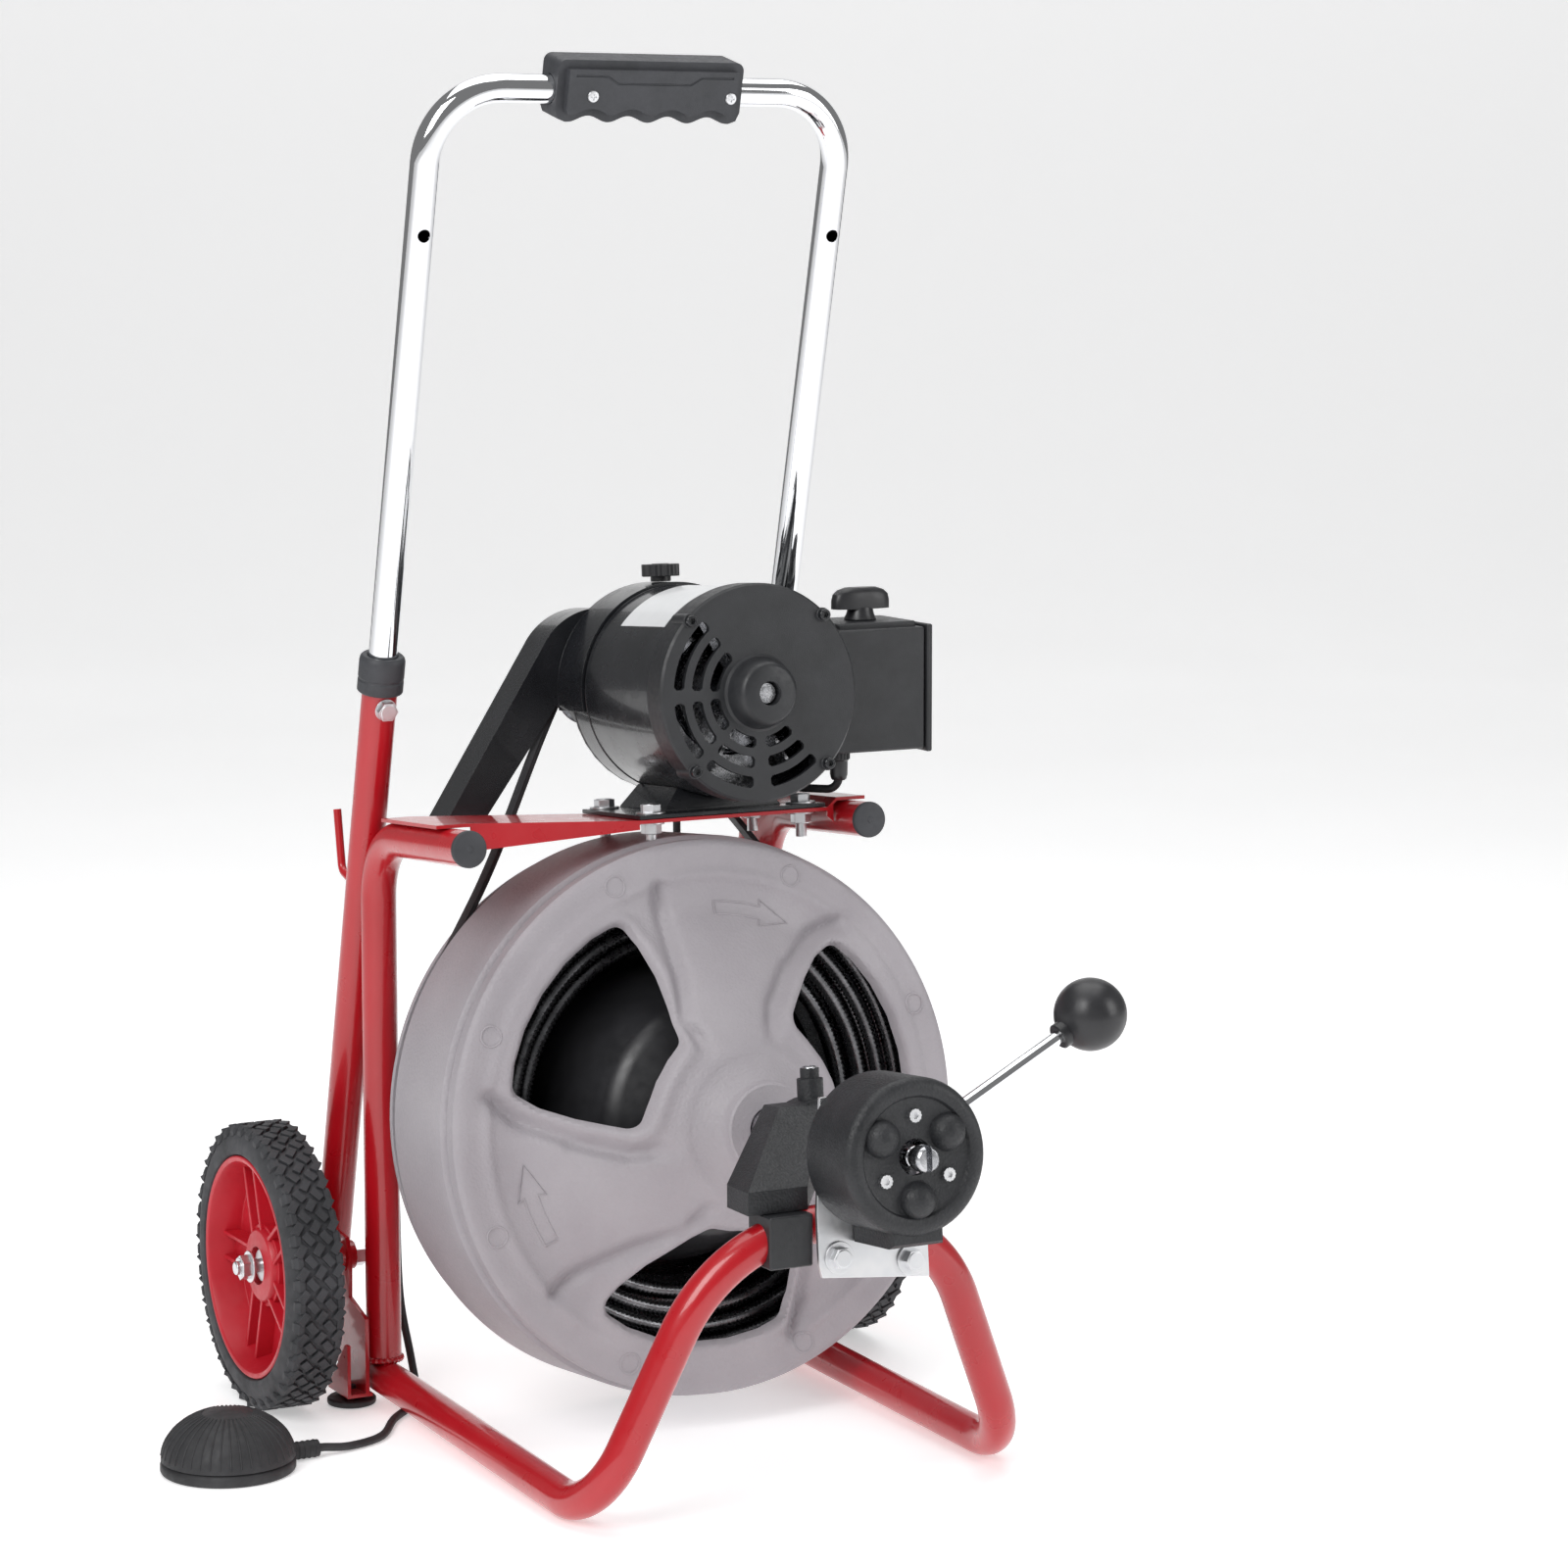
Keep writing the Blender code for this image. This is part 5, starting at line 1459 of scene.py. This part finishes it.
def make_coil():
    """The wound cable: what shows of its turns through the windows, over its dark bulk."""
    turns = [(176.5, -22 - 12.2 * k) for k in range(4)]
    turns += [(164.3, -24), (152.1, -27), (139.9, -33), (127.7, -41), (164.3, -36.2), (152.1, -39.2)]
    wound = bundle(*(cable_ring(r, h, 0.4 * k) for k, (r, h) in enumerate(turns)))
    finished("wound_cable_turns", placed(wound, DRUM), "cable", nodes=["cable_coil"], smooth=180)
    bulk = lathe([(118, -113.5), (176, -113.5), (176, -66), (160, -46), (124, -50), (118, -56)], 96)
    finished("wound_cable_bulk", placed(bulk, DRUM), "cable", "drum")


def make_nose_and_end():
    nose = lathe([(11, 60), (14.8, 60), (14.8, 77), (15, 77), (15, 229), (14.4, 230), (11, 230)], 64)
    finished("nose_sleeve", placed(nose, DRUM), "steel", nodes=["nose_tube"], edge=0.3)
    end = lathe(
        [
            (0, 232), (6, 232), (6, 284), (7.5, 286), (7.5, 293), (6.6, 294), (6.6, 297.6), (8.4, 298.6),
            (9, 299.6), (9, 307.6), (8.4, 309.4), (6.8, 310.8), (0, 311),
        ],
        64,
    )
    end = cut(end, block((-2, 2), (-12, 12), (302, 320)), rod((-12, 0, 289.5), (12, 0, 289.5), 1.8))
    placed(end, DRUM)
    finished("cable_coupling", end, "steel", nodes=["cable_end"], edge=0.3)
    steps, sides = 86, 24
    low, high = 62, 233
    core = bmesh.new()
    rings = []
    for k in range(steps):
        size = CABLE_R if k % 2 else CABLE_R - CABLE_GROOVE
        height = low + (high - low) * k / (steps - 1)
        rings.append([core.verts.new((*polar(size, 360 * j / sides), height)) for j in range(sides)])
    skin(core, rings)
    core.faces.new(rings[0])
    core.faces.new(rings[-1])
    finished("cable_straight_run", placed(oriented(core), DRUM), "cable", "cable_end", smooth=180)


# ---------------------------------------------------------------- feed unit


def make_feed_supports():
    refined("support_arm", "black_cast", 2.0, 4)
    refined("saddle_clamp", "black_coat", 1.4)
    refined("feed_bracket", "zinc", 0.5)
    screw = cut(disc(5.4, 36, 48, edge=0.7), hexagon(5, 43, 60))
    placed(screw, at(DRUM, 0, 0, 152) @ Matrix.Rotation(-math.pi / 2, 4, "X"))
    finished("arm_set_screw", screw, "steel", edge=0.3)
    strap_frame = Matrix.Translation((-35, -371, 190))
    strap = placed(block((-14, 14), (0.4, 3), (-16, 16)), strap_frame)
    finished("clamp_strap", strap, "zinc", edge=0.6)


def make_feed_bolts():
    """Two bolts with washers hold the bracket to the clamp behind it."""
    for number, (x, z) in enumerate(((-5, 178), (49, 170.5)), 1):
        local = DRUM.inverted() @ Vector((x, -402, z))
        seat = at(DRUM, local.x, local.y, 240.6)
        bolt = hex_bolt(13, 5.5, 4, 3, 1.6)
        finished(f"feed_bolt_{number}", placed(bolt, seat), "zinc", edge=0.4)


def make_feed_housing():
    """A pebbled cup with a rounded lip, three domes over the rollers, three screws and a keel below."""
    angles = (math.pi / 2 * k / 8 for k in range(9))
    lip = [(52 - 7 * (1 - math.cos(a)), FEED_FACE - 7 + 7 * math.sin(a)) for a in angles]
    cup = lathe(
        [(0, FEED_REAR), (FEED_R, FEED_REAR)] + lip + [
            (42, FEED_FACE), (40, FEED_FACE - 0.8), (38.6, FEED_FACE - 2.8), (37, FEED_FACE - 3.4),
            (0, FEED_FACE - 3.4),
        ],
        96,
    )
    domes = [ball(12.7, (*polar(28, a), FEED_FACE - 4.5)) for a in (30, 150, 270)]
    keel = hull(
        block((-20, 20), (-58.5, -45), (FEED_REAR + 1, FEED_FACE - 8)),
        block((-18, 18), (-56, -45), (FEED_REAR + 1, FEED_FACE - 4)),
    )
    inside = disc(47.9, FEED_REAR - 20, FEED_FACE - 8, sides=72)
    opening = [polar(40, 0), polar(62, 0), polar(62, 27), polar(62, 54), polar(40, 54)]
    slot = prism(opening, LEVER_H - 6, LEVER_H + 6)
    bore = disc(12, FEED_REAR, FEED_FACE + 10, sides=48)
    housing = placed(cut(union(cup, keel, *domes), inside, slot, bore), DRUM)
    finished("feed_cast_housing", housing, "black_cast", nodes=["feed_housing"], edge=0.8, smooth=45)
    for number, angle in enumerate((90, 210, 330), 1):
        screw = lobed_screw(4.4, 3)
        placed(screw, at(DRUM, *polar(27, angle), FEED_FACE - 3.6))
        finished(f"feed_screw_{number}", screw, "zinc", edge=0.2)


def lobed_screw(radius, height):
    """A round head with a serrated edge and a hex recess."""
    edge = []
    for k in range(72):
        edge.append(polar(radius * (1 + 0.05 * math.cos(math.radians(12 * 5 * k))), 5 * k))
    head = prism(edge, -1, height)
    return cut(head, hexagon(radius * 0.9, height * 0.4, 20))


def lever_point(distance):
    return Vector((distance * math.cos(LEVER_ANGLE), distance * math.sin(LEVER_ANGLE), LEVER_H))


def make_lever():
    ring = disc(46.5, LEVER_H - 14, LEVER_H + 14, bore=38, sides=72)
    lever = bundle(ring, rod(lever_point(42), lever_point(BALL_AT - 8), 4.7, sides=40))
    finished("lever_rod_and_ring", placed(lever, DRUM), "chrome", nodes=["feed_lever"], edge=0.4)
    neck = (lever_point(160) - lever_point(140)).to_track_quat("Z", "Y").to_matrix().to_4x4()
    collar = lathe([(5, 142), (8.2, 142), (9, 142.8), (9, 156), (5, 156)], 64)
    placed(collar, Matrix.Translation(lever_point(0)) @ neck)
    knob = union(ball(BALL_R, lever_point(BALL_AT), 40, 72), collar)
    finished("lever_ball", placed(knob, DRUM), "black_plastic", nodes=["feed_lever_ball"], edge=0.2)


# ---------------------------------------------------------------- pedal and hose


def make_pedal():
    place = Matrix.Translation((*PEDAL_AT, 0))
    base = lathe(
        [
            (0, 0), (44.4, 0), (45.8, 0.8), (46.5, 2.2), (46.5, 6), (45.8, 7.6), (44, 9), (42.6, 9),
            (42.5, 4), (0, 4),
        ],
        96,
    )
    spout = rod((44, 0, 6.5), (66, 0, 6.5), 6, HOSE_R + GAP, 40)
    rings = [rod((50 + 4 * k, 0, 6.5), (51.6 + 4 * k, 0, 6.5), 6.4, 5, 40) for k in range(4)]
    base = placed(bundle(base, spout, *rings), place)
    finished("pedal_foot", base, "rubber", nodes=["pedal_base"], edge=0.4)
    angles = (math.pi / 2 * k / 16 for k in range(16))
    dome = [(46 * math.cos(a), BULB_FOOT + BULB_HEIGHT * math.sin(a)) for a in angles]
    hollow = [(0, 42.9), (0, 40.6), (11, 40.2), (24.5, 35), (36, 25), (42, 14)]
    bulb = lathe([(42, BULB_FOOT)] + dome + hollow, 96)
    ribs = []
    for k in range(40):
        turn = Matrix.Rotation(TURN * k / 40, 4, "Z")
        spine = [(r * 0.998, 0, z) for r, z in dome[1:13]]
        ribs.append(placed(sweep(spine, 0.7, sides=8), turn))
    bulb = finished("pedal_ribbed_bulb", placed(bundle(bulb, *ribs), place), "rubber", "frame")
    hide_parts("pedal_bulb")
    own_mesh(bulb)


HOSE_ROUTE = (
    (-264, -106, 6.5), (-248, -106, 6.5), (-226, -104, 3.8), (-196, -90, 3.2), (-172, -55, 3.2),
    (-154, -36, 3.2), (-139, -20, 3.3), (-132, -6, 4), (-128, 8, 9), (-127, 20, 28), (-132, 26, 70),
    (-134, 26, 130), (-134, 26, 190), (-124, 28, 222), (-96, 30, 232), (-40, 30, 233), (30, 34, 233),
    (78, 42, 238), (102, 45, 265), (106, 46, 330), (106, 46, 400), (106, 46, 470), (112, 45, 508),
    (136, 40, 521), (166, 26, 521), (184, 6, 520.5), (188, -20, 520), (188, -48, 520), (188, -62, 520),
)


def smooth_route(points, spacing):
    """Evenly spaced points on a Catmull-Rom curve through the route."""
    points = [Vector(p) for p in points]
    padded = [2 * points[0] - points[1]] + points + [2 * points[-1] - points[-2]]
    fine = []
    for a, b, c, d in zip(padded, padded[1:], padded[2:], padded[3:]):
        for t in (k / 20 for k in range(20)):
            bend = (2 * a - 5 * b + 4 * c - d) * t**2 + (3 * b - a - 3 * c + d) * t**3
            fine.append(0.5 * (2 * b + (c - a) * t + bend))
    fine.append(points[-1])
    kept = [fine[0]]
    for point in fine[1:-1]:
        if (point - kept[-1]).length >= spacing:
            kept.append(point)
    return kept + [fine[-1]]


def make_hose():
    """The free air hose from the pedal's spout to the nipple behind the switch box."""
    points = [(p + CENTRE) * MM for p in smooth_route(HOSE_ROUTE, 6)]
    curve = bpy.data.curves.new("air_hose_run", "CURVE")
    curve.dimensions = "3D"
    curve.bevel_depth = HOSE_R * MM
    curve.bevel_resolution = 5
    curve.use_fill_caps = True
    spline = curve.splines.new("POLY")
    spline.points.add(len(points) - 1)
    for slot, point in zip(spline.points, points):
        slot.co = (*point, 1)
    spline.use_smooth = True
    curve.materials.append(MATERIALS["rubber"])
    hose = bpy.data.objects.new("air_hose_run", curve)
    bpy.context.scene.collection.objects.link(hose)
    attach(hose, "frame")
    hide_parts("air_hose")


# ---------------------------------------------------------------- inner pieces that keep their CAD shape


def dress_inner_nodes():
    kept = {
        "rotor_shaft": "steel", "motor_stator": "steel", "output_shaft": "steel",
        "feed_roller_1": "steel", "feed_roller_2": "steel", "feed_roller_3": "steel",
    }
    for node, finish in kept.items():
        slots = frame["nodes"][node].material_slots
        for slot in slots:
            slot.link = "OBJECT"
            slot.material = MATERIALS[finish]


# ---------------------------------------------------------------- stage


def pale_floor_material():
    made, shader = new_material("pale_studio_floor", (0.90, 0.90, 0.905), 0.6)
    shader.inputs["Emission Color"].default_value = (1, 1, 1, 1)
    shader.inputs["Emission Strength"].default_value = 0.42
    vary_roughness(made, shader, pattern(made, "noise", 3), 0.55, 0.65)
    return made


def make_stage():
    """A pale floor all round, and behind the machine a strip of it that curves up into a backdrop."""
    bend, reach, height = 2.0, 7.0, 7.0
    flat = [(-8.0, 0.0), (reach - bend, 0.0)]
    angles = (math.pi / 2 * k / 16 for k in range(1, 17))
    rising = [(reach - bend + bend * math.sin(a), bend - bend * math.cos(a)) for a in angles]
    mesh = bmesh.new()
    across = (-9.0, -3.2, 3.2, 9.0)
    profile = flat + rising + [(reach, height)]
    rows = [[mesh.verts.new((x, y, z)) for x in across] for y, z in profile]
    for number, (a, b) in enumerate(zip(rows, rows[1:])):
        for k in (0, 1, 2) if number == 0 else (1,):
            mesh.faces.new((a[k], a[k + 1], b[k + 1], b[k])).smooth = True
    bmesh.ops.delete(mesh, geom=[v for v in mesh.verts if not v.link_faces], context="VERTS")
    placed(mesh, Matrix.Rotation(math.radians(CAMERA_TURN[2]), 4, "Z"))
    floor = to_object("studio_floor", mesh)
    floor.data.materials.append(pale_floor_material())


def add_softbox(name, position, target, size, power):
    light = bpy.data.lights.new(name, "AREA")
    light.shape = "RECTANGLE"
    light.size, light.size_y = size
    light.energy = power
    lamp = bpy.data.objects.new(name, light)
    lamp.location = position
    aim = Vector(target) - Vector(position)
    lamp.rotation_euler = aim.to_track_quat("-Z", "Y").to_euler()
    bpy.context.scene.collection.objects.link(lamp)


def make_lights():
    middle = (0, 0, 0.45)
    add_softbox("key_softbox", (-2.6, -1.6, 2.5), middle, (1.8, 2.4), 80)
    add_softbox("fill_softbox", (2.4, -2.4, 1.5), middle, (1.6, 2.2), 34)
    add_softbox("top_softbox", (0.3, 0.4, 3.2), middle, (3.0, 3.0), 55)
    world = bpy.data.worlds.new("studio_world")
    world.use_nodes = True
    sky = world.node_tree.nodes["Background"]
    sky.inputs["Color"].default_value = (1, 1, 1, 1)
    sky.inputs["Strength"].default_value = 0.2
    bpy.context.scene.world = world
    bpy.context.scene.view_settings.view_transform = "Standard"


def make_camera():
    camera = bpy.data.cameras.new("photo_camera")
    camera.sensor_width = 36
    camera.lens = CAMERA_LENS
    camera.shift_x, camera.shift_y = CAMERA_SHIFT
    holder = bpy.data.objects.new("photo_camera", camera)
    holder.location = CAMERA_AT
    holder.rotation_euler = [math.radians(a) for a in CAMERA_TURN]
    bpy.context.scene.collection.objects.link(holder)
    bpy.context.scene.camera = holder


# ---------------------------------------------------------------- assembly


def make_frame_group():
    make_base_frame()
    make_posts()
    make_sockets()
    make_welds()
    make_cross_tube()
    make_sheet_pieces()
    make_motor_bolts()
    make_feet()
    make_arm_caps()
    make_collars()
    make_lock_screws()
    make_handle()
    make_grip()
    make_wheels()
    make_axles()


def make_drive_group():
    make_motor_base()
    make_motor_shell()
    make_front_bell()
    make_gear_case()
    make_pulley()
    make_belt()
    make_belt_guard()
    make_star_knob()
    make_switch_box()
    make_switch_knob()
    make_gland_and_lead()


def make_cable_group():
    make_drum_front()
    make_drum_marks()
    make_drum_rear()
    make_drum_cone()
    make_coil()
    make_nose_and_end()
    make_feed_supports()
    make_feed_bolts()
    make_feed_housing()
    make_lever()


make_camera()
make_stage()
make_lights()
make_hose()
make_frame_group()
make_drive_group()
make_cable_group()
make_pedal()
dress_inner_nodes()
